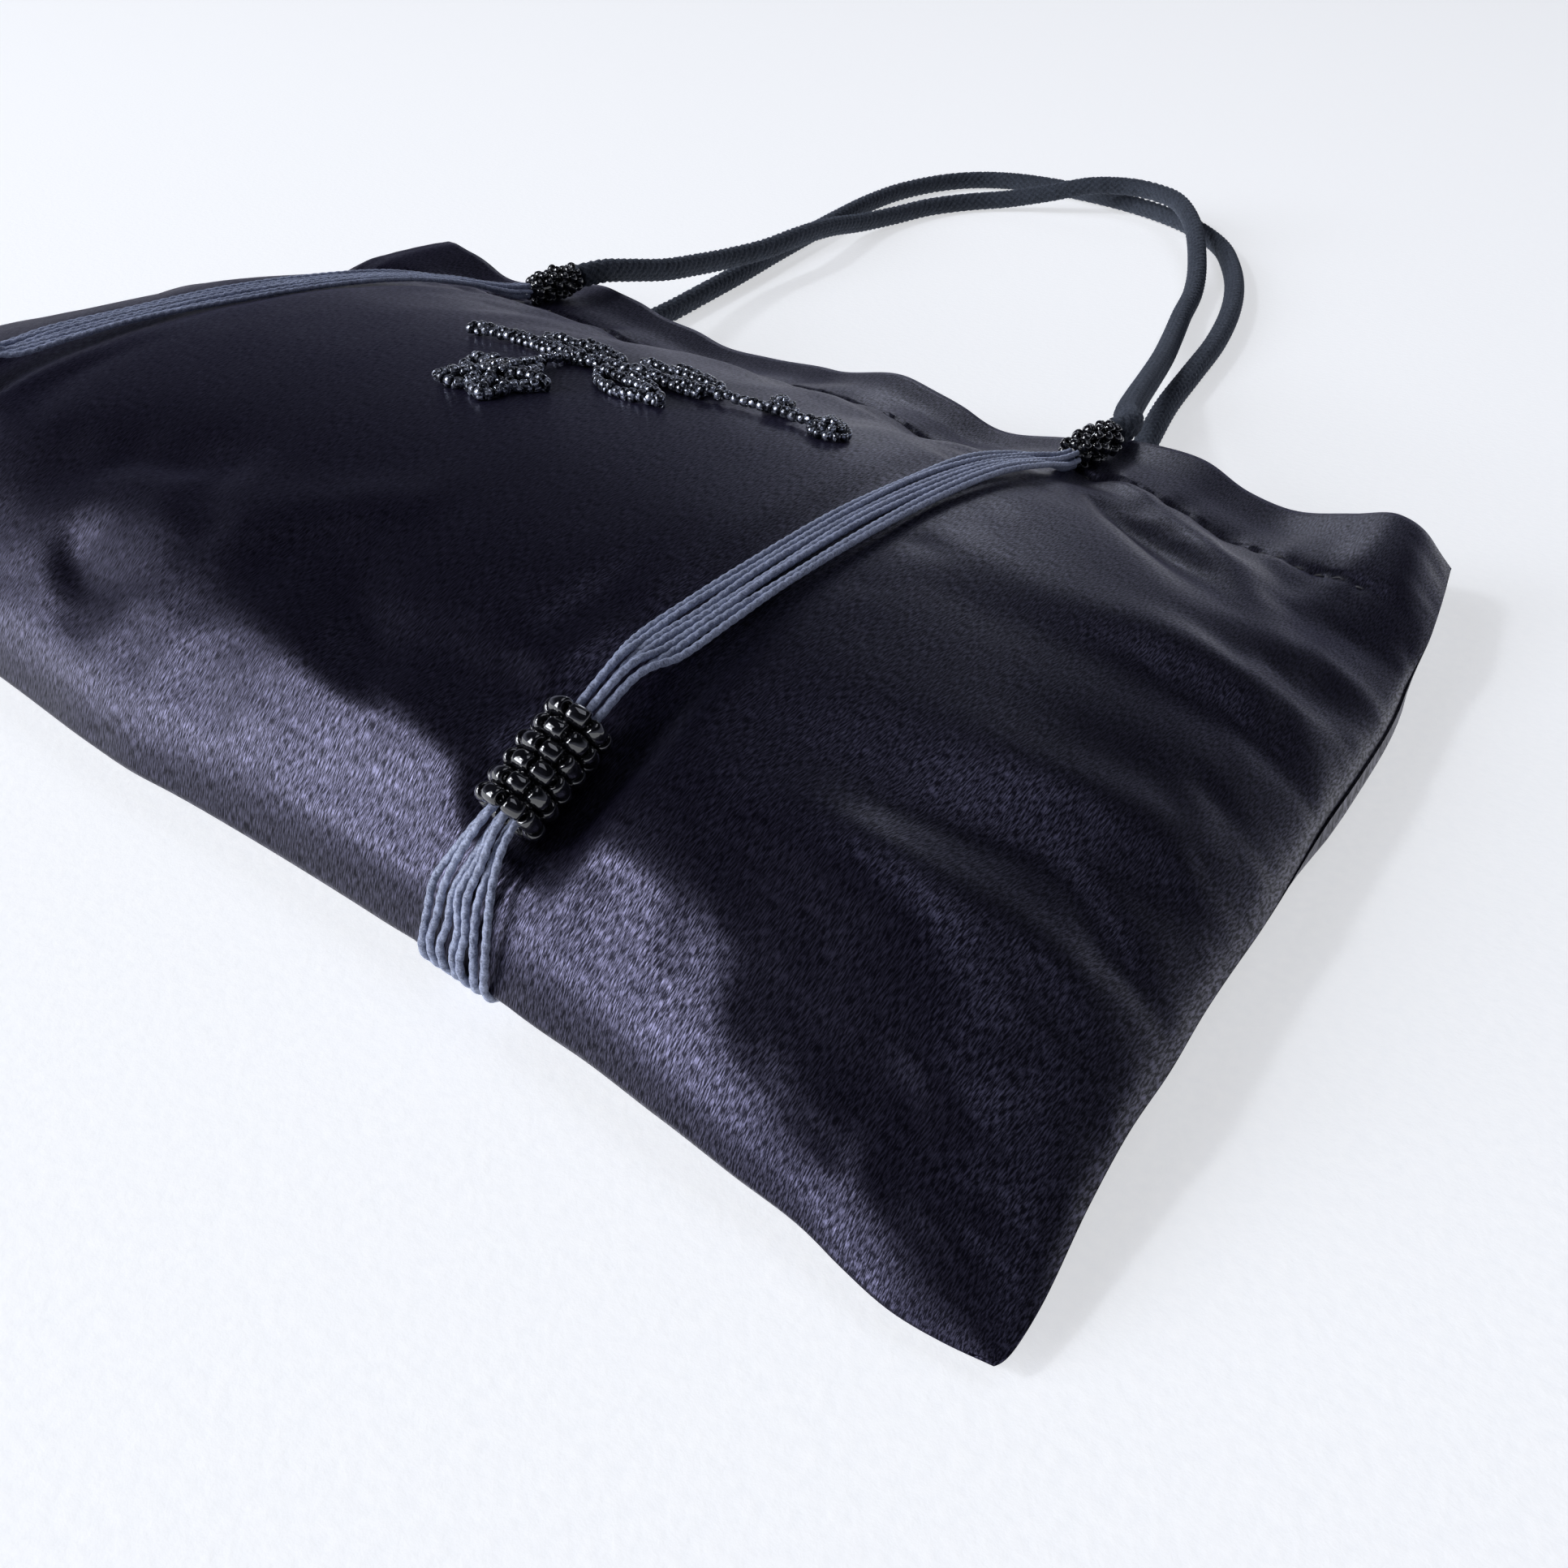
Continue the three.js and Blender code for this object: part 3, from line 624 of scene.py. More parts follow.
def ripple(x, seed):
    """A soft irregular wave along a line, between about -1 and 1."""
    rng = random.Random(seed)
    total = np.zeros_like(x)
    for wavelength in (61, 37, 23, 13.5):
        total += wavelength ** 0.5 * np.sin(x * 2 * math.pi / wavelength + rng.uniform(0, 6.28))
    return total / 15


def gathers(x, seed):
    """Small puckers along a line of stitches."""
    rng = random.Random(seed)
    total = np.zeros_like(x)
    for wavelength in (14.7, 9.7, 6.3, 4.1):
        total += wavelength ** 0.9 * np.sin(x * 2 * math.pi / wavelength + rng.uniform(0, 6.28))
    return total / 18


def side_puckers(share, x, y, seed):
    """Small puckers along the side seams."""
    inward = (1 - np.abs(share)) * half_width(y)
    near = np.exp(-inward / 3.2) * smooth_step(inward, 0.0, 1.4)
    return 0.3 * near * gathers(y + 31 * np.sign(x), seed)


def stitch_line(x):
    """The casing's stitching dips a little towards the side seams."""
    return STITCH_LINE - 2.6 * smooth_step(np.abs(x), 66, 98)


def casing_marks(x, y, seed):
    """The stitched groove of the casing and the gathers on both sides of it."""
    away = y - stitch_line(x)
    groove = -1.15 * np.exp(-(away / 0.75) ** 2) * (0.75 + 0.3 * np.cos(x * 2 * math.pi / 2.6))
    pucker = 0.65 * gathers(x, seed) * np.exp(-np.abs(away) / 4.0)
    puff = 0.45 * np.exp(-((away - 5.0) / 4.0) ** 2) + 0.3 * np.exp(-((away + 3.5) / 2.6) ** 2)
    return groove + pucker + puff


def front_height(share, y):
    x = share * half_width(y)
    seam = seam_height(share, y)
    rise = (read(FRONT_PROFILE, y) - SEAM_HEIGHT) / crown(STRAP_SHARE)
    inner = 1 - np.abs(share) ** 8
    height = seam + rise * crown(share)
    height = height - read(FRONT_DENT, y) * strap_bump(share)
    sag = smooth_step(-x, 62, 88) * smooth_step(y, 10, 40) * (1 - smooth_step(y, 100, 125))
    height = height - 2.0 * sag * inner
    hem = read(HEM_LINE, x * 100 / half_width(y))
    height = height + (hem - height) * smooth_step(y, 98, 126)
    clear_of_fold = smooth_step(y, 1, 10)
    height = height + fold_field(x, y) * clear_of_fold * (1 - 0.75 * strap_bump(share)) * inner
    height = height + casing_marks(x, y, 5) * inner
    height = height + side_puckers(share, x, y, 11) * clear_of_fold
    return height


def back_height(share, y):
    x = share * half_width(y)
    seam = seam_height(share, y)
    side = np.clip(1 - (half_width(y) - np.abs(x)) / BACK_ROLL, 0, 1)
    end = np.clip(1 - y / BACK_ROLL, 0, 1)
    flat = 1 - (1 - np.sqrt(1 - side ** 2.4)) - (1 - np.sqrt(1 - end ** 2.0))
    roll = 1 - np.clip(flat, 0, 1)
    bump = strap_bump(share, 0.045, 0.11)
    height = 0.05 + seam * roll + read(BACK_DENT, y) * bump * (1 - roll * 0.8)
    inner = 1 - np.abs(share) ** 6
    marks = np.maximum(casing_marks(x, y, 9) * -0.6 * inner, 0)
    return height + marks + np.abs(side_puckers(share, x, y, 17)) * 0.4


def satin_grid():
    """One length of satin, from the inside of the front casing, over the hem, down the front,
    round the fold, up the back and into the back casing."""
    shares = np.sin(np.linspace(-math.pi / 2, math.pi / 2, 231)) * 0.35 + np.linspace(-1, 1, 231) * 0.65
    fall = np.linspace(1, 0, 150) ** 1.35
    front_rows = HEM_TOP * fall
    back_rows = HEM_TOP * np.linspace(0, 1, 120)[1:] ** 1.35
    inside_rows = np.linspace(STITCH_LINE + 0.6, HEM_TOP - 0.4, 16)
    rows = []
    for y in inside_rows:
        rows.append(("front_inside", y))
    rows.append(("front_edge", HEM_TOP + HEM_ROUND))
    for y in front_rows:
        rows.append(("front", y))
    for y in back_rows:
        rows.append(("back", y))
    rows.append(("back_edge", HEM_TOP + HEM_ROUND))
    for y in inside_rows[::-1]:
        rows.append(("back_inside", y))
    side_taper = 1 - np.abs(shares) ** 10
    layers, kinds = [], []
    for kind, y in rows:
        level = np.full_like(shares, y)
        x = shares * half_width(y)
        if kind == "front":
            z = front_height(shares, level)
            if y < 3:
                z = np.maximum(z, seam_height(shares, level))
        elif kind == "back":
            z = back_height(shares, level)
        elif kind == "front_inside":
            z = front_height(shares, level) - HEM_THICKNESS * side_taper
        elif kind == "back_inside":
            z = back_height(shares, level) + HEM_THICKNESS * side_taper
        elif kind == "front_edge":
            z = front_height(shares, level) - HEM_THICKNESS / 2 * side_taper
        else:
            z = back_height(shares, level) + HEM_THICKNESS / 2 * side_taper
        ease = np.exp(-y / 7.0)
        nose = read(FOLD_LINE, x) + NOSE_SHIFT
        nose = (nose + (NOSE_UNDER_STRAP - nose) * strap_bump(shares, 0.036, 0.056, FAN_SHARE)) * ease
        edge = (read(SIDE_LINE, level) - 0.7 * math.exp(-y / 0.9)) * np.abs(shares) ** 9
        tuck = smooth_step(level, 50, 75) * (1 - smooth_step(level, 100, 114))
        inward = (1 - np.abs(shares)) * half_width(y)
        edge = edge - 1.1 * tuck * np.exp(-inward / 1.2)
        if kind == "back":
            edge = edge + 1.9 * tuck * np.exp(-((inward - 2.2) / 1.6) ** 2)
        droop = 1.2 * ripple(x, 21) * smooth_step(level, 112, 131)
        layers.append(np.stack([x + edge * np.sign(shares), level + nose + droop, z], axis=1))
        kinds.append(kind)
    return np.array(layers), kinds


def grid_faces(rows, columns):
    corner = (np.arange(rows - 1)[:, None] * columns + np.arange(columns - 1)[None, :]).ravel()
    return np.stack([corner, corner + columns, corner + columns + 1, corner + 1], axis=1).tolist()


def cloth_uv(piece, grid):
    """Cloth coordinates in metres: across the pouch, and along the cloth."""
    steps = np.linalg.norm(np.diff(grid, axis=0), axis=2)
    walked = np.concatenate([np.zeros((1, grid.shape[1])), np.cumsum(steps, axis=0)]).mean(axis=1)
    across = grid[:, :, 0]
    coordinates = np.stack([across, np.repeat(walked[:, None], grid.shape[1], axis=1)], axis=2) * MM
    flat = coordinates.reshape(-1, 2)
    layer = piece.data.uv_layers.new(name="cloth")
    corner_points = np.zeros(len(piece.data.loops), int)
    piece.data.loops.foreach_get("vertex_index", corner_points)
    layer.data.foreach_set("uv", flat[corner_points].ravel())


# The cloth simulation runs on every SIM_STEP-th point. Its displacements, in millimetres, are
# eased off towards SIM_REACH.
SIM_STEP = 3
SIM_FRAMES = 18
SIM_REACH = 0.75


def settle(grid, kinds):
    """Let a coarser copy of the satin settle as cloth, and take over the way it buckles."""
    panel = [index for index, kind in enumerate(kinds) if kind in ("front", "back")]
    rows = sorted(set(panel[::SIM_STEP]) | {panel[0], panel[-1]})
    columns = list(range(0, grid.shape[1], SIM_STEP))
    coarse = grid[np.ix_(rows, columns)]
    cloth = mesh_piece("settling_satin", coarse.reshape(-1, 3), grid_faces(*coarse.shape[:2]), SATIN)
    x, y = coarse[:, :, 0], coarse[:, :, 1]
    share = np.abs(x) / half_width(y)
    held = np.maximum(smooth_step(share, 0.93, 0.99), strap_bump(share, 0.03, 0.06))
    held = np.maximum(held, smooth_step(y, STITCH_LINE - 12, STITCH_LINE - 4))
    back = np.array([kinds[row] == "back" for row in rows])[:, None]
    held = np.where(back | (y < 4), 1.0, held)
    group = cloth.vertex_groups.new(name="held")
    for index, weight in enumerate(held.ravel()):
        if weight > 0.02:
            group.add([index], float(weight), "REPLACE")
    modifier = cloth.modifiers.new("cloth", "CLOTH")
    settings = modifier.settings
    settings.vertex_group_mass = "held"
    settings.pin_stiffness = 8.0
    settings.quality = 6
    settings.mass = 0.12
    settings.tension_stiffness = 18
    settings.compression_stiffness = 18
    settings.shear_stiffness = 6
    settings.bending_stiffness = 0.05
    settings.shrink_min = -0.014
    settings.use_pressure = True
    settings.uniform_pressure_force = 2.0
    settings.effector_weights.gravity = 0.0
    modifier.collision_settings.use_collision = False
    scene = bpy.context.scene
    modifier.point_cache.frame_start = 1
    modifier.point_cache.frame_end = SIM_FRAMES
    for frame_number in range(1, SIM_FRAMES + 1):
        scene.frame_set(frame_number)
    settled = cloth.evaluated_get(bpy.context.evaluated_depsgraph_get()).to_mesh()
    ends = np.zeros(len(settled.vertices) * 3)
    settled.vertices.foreach_get("co", ends)
    moved = ends.reshape(coarse.shape) / MM - (coarse + (0, FOLD_Y, 0))
    scene.frame_set(1)
    bpy.data.objects.remove(cloth)
    size = np.linalg.norm(moved, axis=2, keepdims=True)
    moved = moved * SIM_REACH / (SIM_REACH + size)
    spread = np.zeros_like(grid)
    for axis in range(3):
        across = np.array([np.interp(range(grid.shape[1]), columns, line) for line in moved[:, :, axis]])
        down = np.array([np.interp(panel, rows, line) for line in across.T]).T
        spread[panel, :, axis] = down
    for _ in range(2):
        spread[1:-1, 1:-1] = (
            spread[1:-1, 1:-1] * 2 + spread[:-2, 1:-1] + spread[2:, 1:-1]
            + spread[1:-1, :-2] + spread[1:-1, 2:]
        ) / 6
    return grid + spread


def add_satin():
    grid, kinds = satin_grid()
    grid = settle(grid, kinds)
    rows, columns = grid.shape[:2]
    shell = mesh_piece("satin_pouch", grid.reshape(-1, 3), grid_faces(rows, columns), SATIN)
    cloth_uv(shell, grid)
    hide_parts("outer_front", "outer_back", "casing_front", "casing_back")
    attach(shell, "pouch")
    return grid, kinds


SATIN_POINTS, SATIN_KINDS = add_satin()


# ---------------------------------------------------------------- beads

def bead_shape(radius, length, hole, around=14, profile=10, squared=0.85):
    """A rounded ring, its hole along Z."""
    angles = np.arange(around) * 2 * math.pi / around
    turns = np.arange(profile) * 2 * math.pi / profile
    middle, thick = (radius + hole) / 2, (radius - hole) / 2
    out = middle + thick * np.sign(np.cos(turns)) * np.abs(np.cos(turns)) ** squared
    height = length / 2 * np.sign(np.sin(turns)) * np.abs(np.sin(turns)) ** squared
    vertices = np.stack([
        out[None, :] * np.cos(angles)[:, None], out[None, :] * np.sin(angles)[:, None],
        np.repeat(height[None, :], around, axis=0),
    ], axis=2).reshape(-1, 3)
    faces = []
    for a in range(around):
        for b in range(profile):
            next_a, next_b = (a + 1) % around, (b + 1) % profile
            here, beside = a * profile, next_a * profile
            faces.append((here + b, beside + b, beside + next_b, here + next_b))
    return vertices, faces


SEED_BEAD = bead_shape(1.0, 1.55, 0.35)
LONG_BEAD = bead_shape(0.98, 1.95, 0.2, 16, 16, 0.74)


def bead_cluster(name, places, body, replaced, core=None, shape=SEED_BEAD, material=BEADS):
    """places: (centre, axis of the hole, size) of each bead. One piece holds them all, and any core."""
    bead, bead_faces = shape
    vertices, faces, base = [], [], 0
    for centre, axis, size in places:
        turn = Vector((0, 0, 1)).rotation_difference(Vector(axis)).to_matrix()
        vertices.append(bead @ np.array(turn).T * size + np.asarray(centre))
        faces += [tuple(base + corner for corner in face) for face in bead_faces]
        base += len(bead)
    if core:
        core_vertices, core_faces = core
        vertices.append(np.asarray(core_vertices))
        faces += [tuple(base + corner for corner in face) for face in core_faces]
    piece = mesh_piece(name, np.vstack(vertices), faces, material)
    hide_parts(*replaced)
    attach(piece, body)


def ring_of_beads(centre, run, radius, count, start, size, rng, jitter):
    """Beads in a ring round an axis, each strung along the ring."""
    run = Vector(run).normalized()
    side = run.cross(Vector((1, 0, 0.01))).normalized()
    up = run.cross(side)
    places = []
    for index in range(count):
        angle = start + index * 2 * math.pi / count
        out = side * math.cos(angle) + up * math.sin(angle)
        around = (up * math.cos(angle) - side * math.sin(angle)).normalized()
        wobble = Vector([rng.uniform(-jitter, jitter) for _ in range(3)])
        place = Vector(centre) + out * (radius + rng.uniform(-jitter, jitter) * 0.6) + wobble * 0.5
        hole = (around + wobble * 0.5).normalized()
        places.append((tuple(place), tuple(hole), size * rng.uniform(0.93, 1.05)))
    return places


BEADS_AROUND = 8
SLEEVE_RING, SLEEVE_BEAD, SLEEVE_CORE = 2.55, 0.98, 2.0
SLEEVE_ROW_TURN = 0.45
SLEEVE_JITTER = 0.12
COLLAR_RINGS = {"front": 2.15, "back": 2.1}
COLLAR_ROWS = 6
COLLAR_ROW_START, COLLAR_ROW_PITCH, COLLAR_ROW_TURN = 0.9, 1.82, 1.1
COLLAR_BULGE, COLLAR_BEAD, COLLAR_JITTER = 0.6, 0.74, 0.4
CORE_SIDES, CORE_STEP = 16, 1.5


def add_sleeves():
    run = (0, math.cos(SLEEVE_SLOPE), math.sin(SLEEVE_SLOPE))
    for name, side in (("left", -1), ("right", 1)):
        rng = random.Random(40 + side)
        x = side * strap_centre(SLEEVE_PLACE[0])
        places = []
        for row in range(SLEEVE_ROWS):
            distance = (row - (SLEEVE_ROWS - 1) / 2) * SLEEVE_LENGTH / SLEEVE_ROWS
            start = row * SLEEVE_ROW_TURN + rng.uniform(-0.2, 0.2)
            places += ring_of_beads(
                (x, *along(distance)), run, SLEEVE_RING, BEADS_AROUND, start, SLEEVE_BEAD, rng, SLEEVE_JITTER,
            )
        reach = SLEEVE_LENGTH / 2 - 0.8
        line = [(x, *along(distance)) for distance in (-reach, 0, reach)]
        core = sweep(line, round_tube(SLEEVE_CORE), CORE_SIDES, CORE_STEP)[:2]
        bead_cluster(f"{name}_bead_sleeve", places, f"{name}_sleeve", [f"sleeve_{name}"], core, LONG_BEAD)


def add_collars():
    for face, radius in COLLAR_RINGS.items():
        for name, side in (("left", -1), ("right", 1)):
            rng = random.Random(hash_number(face, name))

            def place(distance):
                return (side * COLLAR_X, COLLAR_BOTTOM + distance, COLLAR_HEIGHTS[face])

            def core_radius(angles, distances):
                return 0 * angles + radius - 0.55 - 0.5 * np.abs(distances / 10.7 - 0.5)

            places = []
            for row in range(COLLAR_ROWS):
                bulge = math.sin(math.pi * (row + 0.5) / COLLAR_ROWS)
                places += ring_of_beads(
                    place(COLLAR_ROW_START + row * COLLAR_ROW_PITCH), (0, 1, 0),
                    radius - COLLAR_BULGE + COLLAR_BULGE * bulge, BEADS_AROUND,
                    row * COLLAR_ROW_TURN, COLLAR_BEAD, rng, COLLAR_JITTER,
                )
            core = sweep([place(d) for d in (0.2, 4, 8, 10.9)], core_radius, CORE_SIDES, CORE_STEP)[:2]
            bead_cluster(f"{face}_{name}_bead_collar", places, "pouch", [f"collar_{face}_{name}"], core)


def hash_number(*words):
    """A fixed seed from some words."""
    return sum(ord(letter) * (index + 1) for index, letter in enumerate("".join(words)))


add_sleeves()
add_collars()


# ---------------------------------------------------------------- sprig

PANEL_STEP = 0.5
PANEL_LOW, PANEL_HIGH = (-40, 50), (50, 100)


def panel_grid():
    """Heights of the settled front panel round the sprig."""
    across = np.arange(PANEL_LOW[0], PANEL_HIGH[0], PANEL_STEP)
    along_panel = np.arange(PANEL_LOW[1], PANEL_HIGH[1], PANEL_STEP)
    front = SATIN_POINTS[[kind == "front" for kind in SATIN_KINDS]][::-1]
    levels = front[:, front.shape[1] // 2, 1]
    lines = np.array([np.interp(across, row[:, 0], row[:, 2]) for row in front])
    return np.array([np.interp(along_panel, levels, line) for line in lines.T])


PANEL = panel_grid()


def panel_point(x, y, lift):
    """A point above the front panel and the cloth's outward direction there."""
    column, row = (x - PANEL_LOW[0]) / PANEL_STEP, (y - PANEL_LOW[1]) / PANEL_STEP
    i, j = int(column), int(row)
    a, b = column - i, row - j
    near = PANEL[i, j] * (1 - b) + PANEL[i, j + 1] * b
    far = PANEL[i + 1, j] * (1 - b) + PANEL[i + 1, j + 1] * b
    slope_x = (PANEL[i + 3, j] - PANEL[i - 3, j]) / (6 * PANEL_STEP)
    slope_y = (PANEL[i, j + 3] - PANEL[i, j - 3]) / (6 * PANEL_STEP)
    normal = Vector((-slope_x, -slope_y, 1)).normalized()
    return Vector((x, y, near * (1 - a) + far * a)) + normal * lift, normal


def bead_row(points, rng, size=0.7, lift=0.85):
    """Beads strung along a flat line on the panel."""
    line, _ = spline([(x, y, 0) for x, y in points], size * 1.75)
    places = []
    for index, point in enumerate(line):
        after = line[min(index + 1, len(line) - 1)] - line[max(index - 1, 0)]
        centre, normal = panel_point(point[0], point[1], lift + rng.uniform(-0.15, 0.3))
        along_row = Vector((after[0], after[1], 0))
        along_row = (along_row - normal * along_row.dot(normal)).normalized()
        wobble = Vector([rng.uniform(-0.2, 0.2) for _ in range(3)])
        hole = (along_row + wobble).normalized()
        places.append((tuple(centre), tuple(hole), size * rng.uniform(0.88, 1.08)))
    return places


def petal(centre, turn, length, width, rng):
    """A leaf shape outlined in beads, with a row down its middle."""
    cx, cy = centre

    def at(t, off):
        x, y = length * t, off
        return (cx + x * math.cos(turn) - y * math.sin(turn), cy + x * math.sin(turn) + y * math.cos(turn))

    outline = [at(t, width / 2 * math.sin(math.pi * t ** 0.8)) for t in (0, 0.2, 0.45, 0.7, 0.9, 1)]
    outline += [at(t, -width / 2 * math.sin(math.pi * t ** 0.8)) for t in (0.9, 0.7, 0.45, 0.2, 0.04)]
    middle = [at(t, 0) for t in (0.1, 0.35, 0.6, 0.82)]
    return bead_row(outline, rng) + bead_row(outline, rng, 0.6, 0.5) + bead_row(middle, rng, 0.68, 1.3)


SPRIG_FLOWER = (0.8, 59.8)
SPRIG_STEM = [
    (-16.5, 71.2), (-12.5, 72.4), (-8, 73.0), (-2, 72.8), (4, 73.0), (12, 74.2), (20.6, 75.2),
    (28, 77.0), (36, 77.7),
]
SPRIG_STALK = [(0.6, 66.8), (0.4, 69.5), (1.4, 72.4)]
# Leaves as root, turn, length and width. Buds as centre and radius.
SPRIG_LEAVES = [((-7.5, 76.0), 0.1, 13, 5.0), ((8.0, 70.4), -0.18, 13, 5.2), ((8.5, 77.8), 0.06, 13, 5.4)]
SPRIG_BUDS = [((29.8, 80.0), 2.0), ((38.8, 78.0), 2.6)]
PETALS, PETAL_LENGTH, PETAL_WIDTH, PETAL_START = 5, 5.2, 4.6, 2.0


def sprig_piece(part, places):
    bead_cluster(f"beaded_{part}", places, "pouch", [f"sprig_{part}"], material=CUT_BEADS)


def add_sprig():
    rng = random.Random(77)
    places = []
    for index in range(PETALS):
        turn = 0.3 + index * 2 * math.pi / PETALS
        x, y = SPRIG_FLOWER[0] + PETAL_START * math.cos(turn), SPRIG_FLOWER[1] + PETAL_START * math.sin(turn)
        places += petal((x, y), turn, PETAL_LENGTH, PETAL_WIDTH, rng)
    sprig_piece("flower", places)
    middle = []
    for ring, count in ((0, 1), (1.25, 6)):
        for index in range(count):
            angle = index * 2 * math.pi / count
            x, y = SPRIG_FLOWER[0] + ring * math.cos(angle), SPRIG_FLOWER[1] + ring * math.sin(angle)
            centre, normal = panel_point(x, y, 2.1 - 0.25 * ring)
            middle.append((tuple(centre), tuple(normal), 0.66))
    sprig_piece("flower_centre", middle)
    for index, (root, turn, length, width) in enumerate(SPRIG_LEAVES):
        sprig_piece(f"leaf_{index + 1}", petal(root, turn, length, width, rng))
    for index, ((x, y), radius) in enumerate(SPRIG_BUDS):
        bud = []
        for ring, lift in ((radius * 0.85, 0.6), (radius * 0.6, 1.3), (radius * 0.2, 1.8)):
            count = max(3, int(2 * math.pi * ring / 1.1))
            for step in range(count):
                angle = step * 2 * math.pi / count
                centre, normal = panel_point(x + ring * math.cos(angle), y + ring * math.sin(angle), lift)
                bud.append((tuple(centre), tuple(normal), 0.62 * rng.uniform(0.9, 1.1)))
        sprig_piece(f"bud_{index + 1}", bud)
    places = []
    for offset, size, lift in ((0.65, 0.66, 0.9), (-0.65, 0.66, 0.7)):
        places += bead_row([(x, y + offset) for x, y in SPRIG_STEM[:7]], rng, size, lift)
    places += bead_row(SPRIG_STEM, rng, 0.68, 1.1)
    places += bead_row(SPRIG_STALK, rng, 0.66, 0.8)
    sprig_piece("stem", places)


add_sprig()


# ---------------------------------------------------------------- lining and stitches

LINING_START, LINING_PAST_STITCHES, LINING_EDGE = 12, 4, 0.97
LINING_GAPS = (("front", front_height, -1.9), ("back", back_height, 1.3))
STITCH_PITCH, STITCH_LENGTH, STITCH_RADIUS = 2.6, 1.9, 0.17


def add_linings():
    shares = np.linspace(-LINING_EDGE, LINING_EDGE, 60)
    rows = np.linspace(LINING_START, STITCH_LINE + LINING_PAST_STITCHES, 40)
    for name, height, lift in LINING_GAPS:
        grid = np.array([
            np.stack([
                shares * half_width(y), np.full_like(shares, y),
                height(shares, np.full_like(shares, y)) + lift * (1 - np.abs(shares) ** 8),
            ], axis=1) for y in rows
        ])
        lining = mesh_piece(f"{name}_lining", grid.reshape(-1, 3), grid_faces(*grid.shape[:2]), LINING)
        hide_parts(f"lining_{name}")
        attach(lining, "pouch")


def add_stitches():
    vertices, faces, base = [], [], 0
    for height, lift in ((front_height, 0.12), (back_height, -0.12)):
        reach = half_width(STITCH_LINE) - 3
        for index in range(int(2 * reach / STITCH_PITCH)):
            x = -reach + index * STITCH_PITCH
            points = []
            for share_of in (0, 0.25, 0.5, 0.75, 1):
                px = x + STITCH_LENGTH * share_of
                arch = 0.28 * math.sin(math.pi * share_of) - 0.2
                py = float(stitch_line(px))
                z = float(height(np.array([px / half_width(py)]), np.array([py]))[0])
                points.append((px, py, z + (lift + arch * np.sign(lift))))
            tube, tube_faces, _ = sweep(points, round_tube(STITCH_RADIUS), 6, 0.5)
            vertices.append(tube)
            faces += [tuple(base + corner for corner in face) for face in tube_faces]
            base += len(tube)
    stitches = mesh_piece("casing_stitches", np.vstack(vertices), faces, THREAD)
    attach(stitches, "pouch")


add_linings()
add_stitches()


# ---------------------------------------------------------------- floor and light

FLOOR_HALF = 3.0


def add_floor():
    mesh = bpy.data.meshes.new("floor")
    corners = [(x * FLOOR_HALF, y * FLOOR_HALF, 0) for x, y in ((-1, -1), (1, -1), (1, 1), (-1, 1))]
    mesh.from_pydata(corners, [], [(0, 1, 2, 3)])
    n = Nodes("pale_paper")
    paper = n.noise(n.place(), 900, 3.0, 0.6)
    n.feed("Base Color", n.ramp(paper, (0.52, 0.54, 0.57), (0.56, 0.575, 0.60)))
    n.feed("Normal", n.bump(paper, 0.0002, 0.3))
    n.feed("Emission Color", n.ramp(paper, (0.95, 0.96, 0.98), (0.985, 0.99, 1.0)))
    n.set(Roughness=0.9, Emission_Strength=0.6)
    mesh.materials.append(n.material)
    floor = bpy.data.objects.new("floor", mesh)
    bpy.context.collection.objects.link(floor)


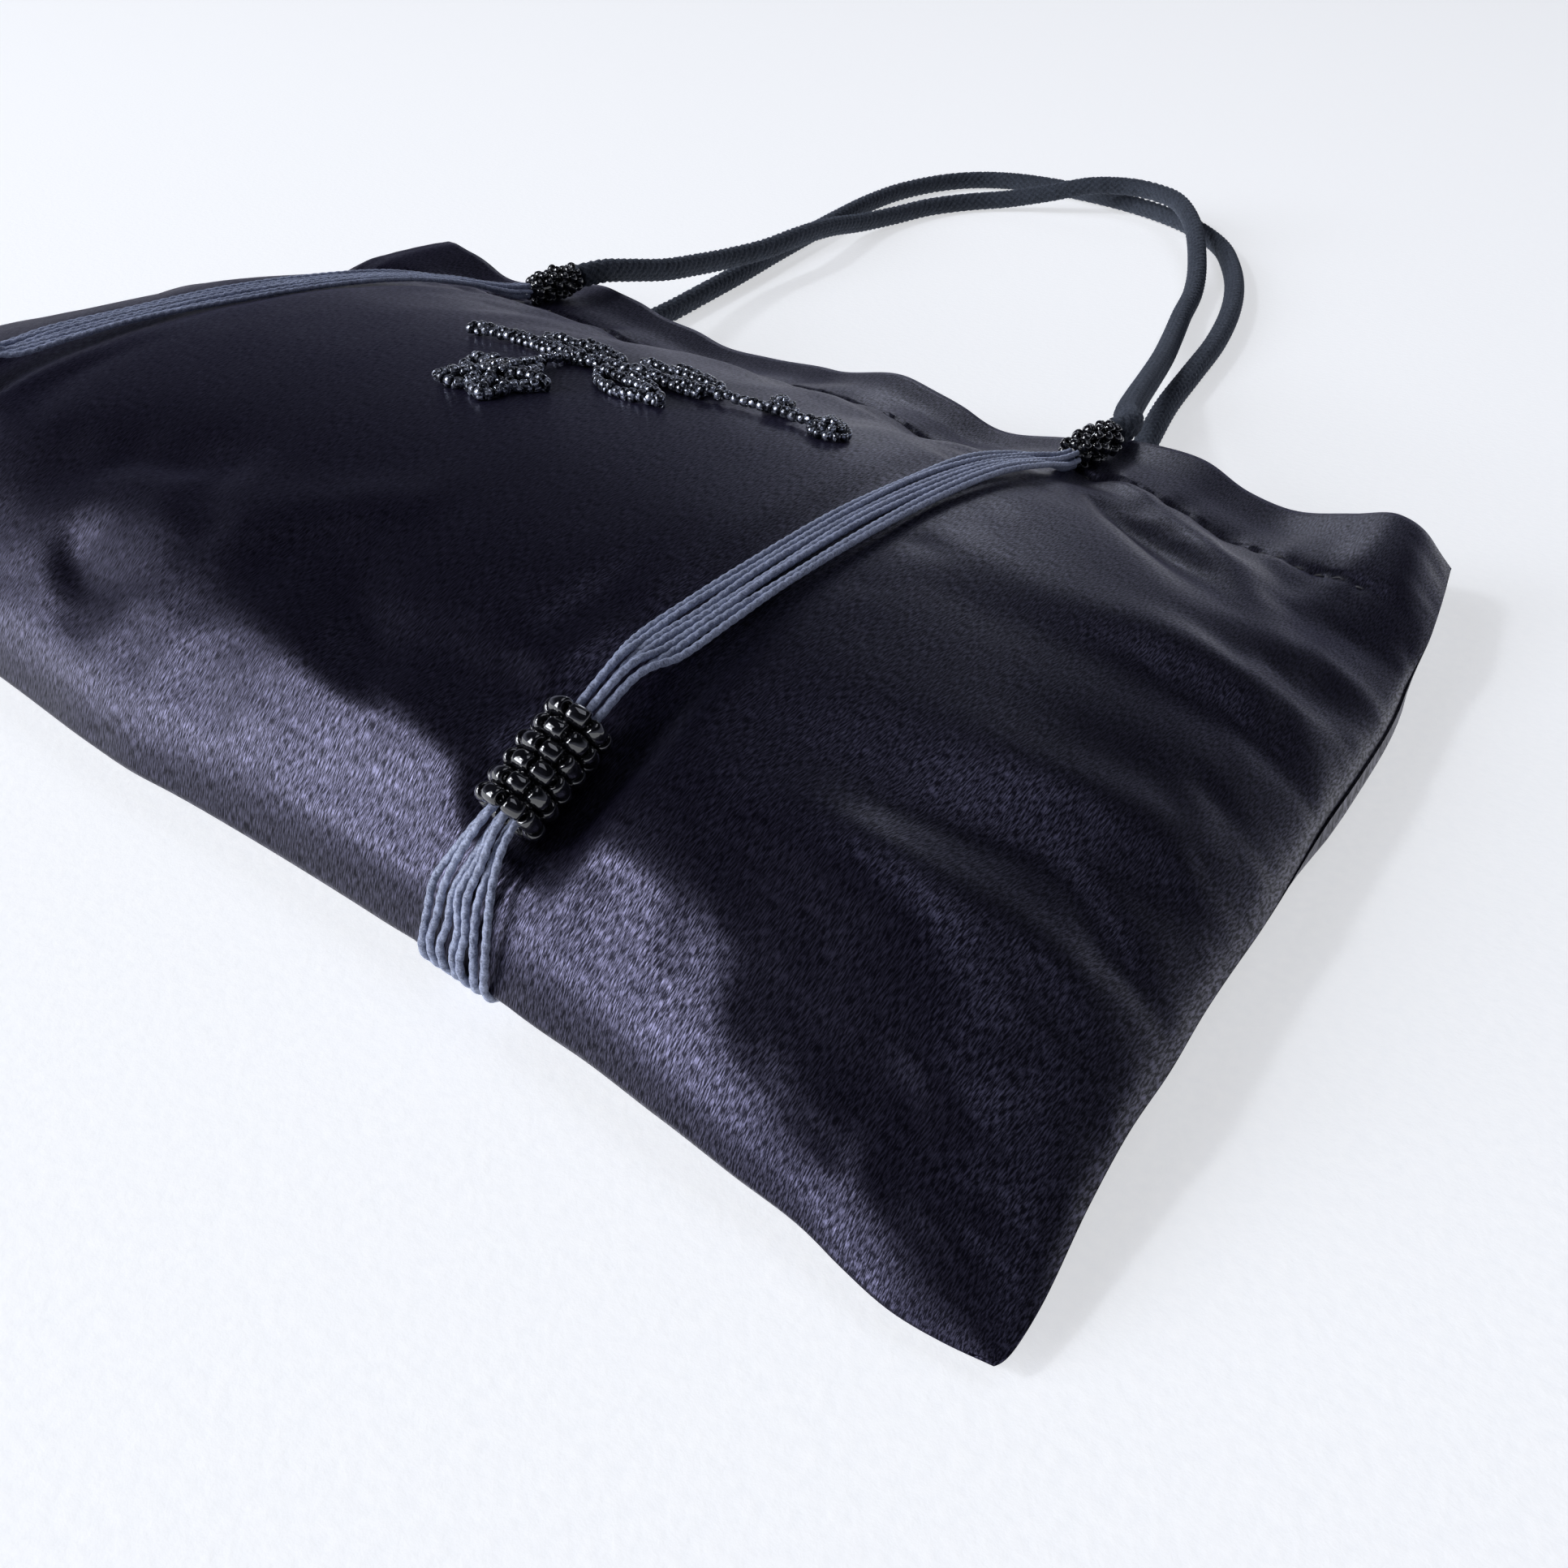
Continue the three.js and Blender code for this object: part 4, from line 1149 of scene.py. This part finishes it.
def add_area(name, place, target, size, energy, colour):
    data = bpy.data.lights.new(name, "AREA")
    data.shape = "RECTANGLE"
    data.size, data.size_y = size
    data.energy = energy
    data.color = colour
    lamp = bpy.data.objects.new(name, data)
    bpy.context.collection.objects.link(lamp)
    lamp.location = place
    lamp.rotation_euler = (Vector(target) - Vector(place)).to_track_quat("-Z", "Y").to_euler()


def add_world():
    """A room that is pale round its foot and dark above."""
    world = bpy.data.worlds.new("soft_room")
    world.use_nodes = True
    tree = world.node_tree
    background = tree.nodes["Background"]
    direction = tree.nodes.new("ShaderNodeTexCoord").outputs["Generated"]
    parts = tree.nodes.new("ShaderNodeSeparateXYZ")
    tree.links.new(direction, parts.inputs[0])
    shade = tree.nodes.new("ShaderNodeMapRange")
    shade.interpolation_type = "SMOOTHSTEP"
    shade.inputs["From Min"].default_value = 0.08
    shade.inputs["From Max"].default_value = 0.42
    shade.inputs["To Min"].default_value = 0.37
    shade.inputs["To Max"].default_value = 0.012
    tree.links.new(parts.outputs["Z"], shade.inputs["Value"])
    background.inputs["Color"].default_value = (0.74, 0.78, 1.0, 1)
    tree.links.new(shade.outputs["Result"], background.inputs["Strength"])
    bpy.context.scene.world = world


# Name, place, target, size, power in watts and colour of each soft light.
LIGHTS = [
    ("window", (-1.15, -1.8, 0.75), (0, 0, 0), (1.35, 0.9), 31, (0.9, 0.925, 1.0)),
    ("window_top", (-0.98, -1.5, 1.55), (0, 0, 0), (1.35, 0.8), 11, (0.9, 0.925, 1.0)),
    ("window_foot", (-0.95, -1.55, 0.3), (0, 0, 0), (1.2, 0.4), 7, (0.92, 0.94, 1.0)),
    ("bulb", (-0.75, -1.15, 1.15), (0, 0, 0), (0.16, 0.16), 8, (0.95, 0.97, 1.0)),
    ("far_window", (-0.75, 1.9, 1.2), (0, 0, 0), (1.5, 1.0), 1.2, (0.78, 0.84, 1.0)),
    ("far_lamp", (-0.7, 1.5, 0.55), (0, 0, 0), (0.3, 0.3), 0.8, (0.88, 0.92, 1.0)),
    ("ceiling", (0.5, 0.6, 2.1), (0, 0.05, 0), (1.6, 1.3), 7, (0.85, 0.88, 1.0)),
]

add_floor()
add_world()
for light in LIGHTS:
    add_area(*light)
bpy.context.scene.view_settings.view_transform = "Standard"

bpy.context.view_layer.update()
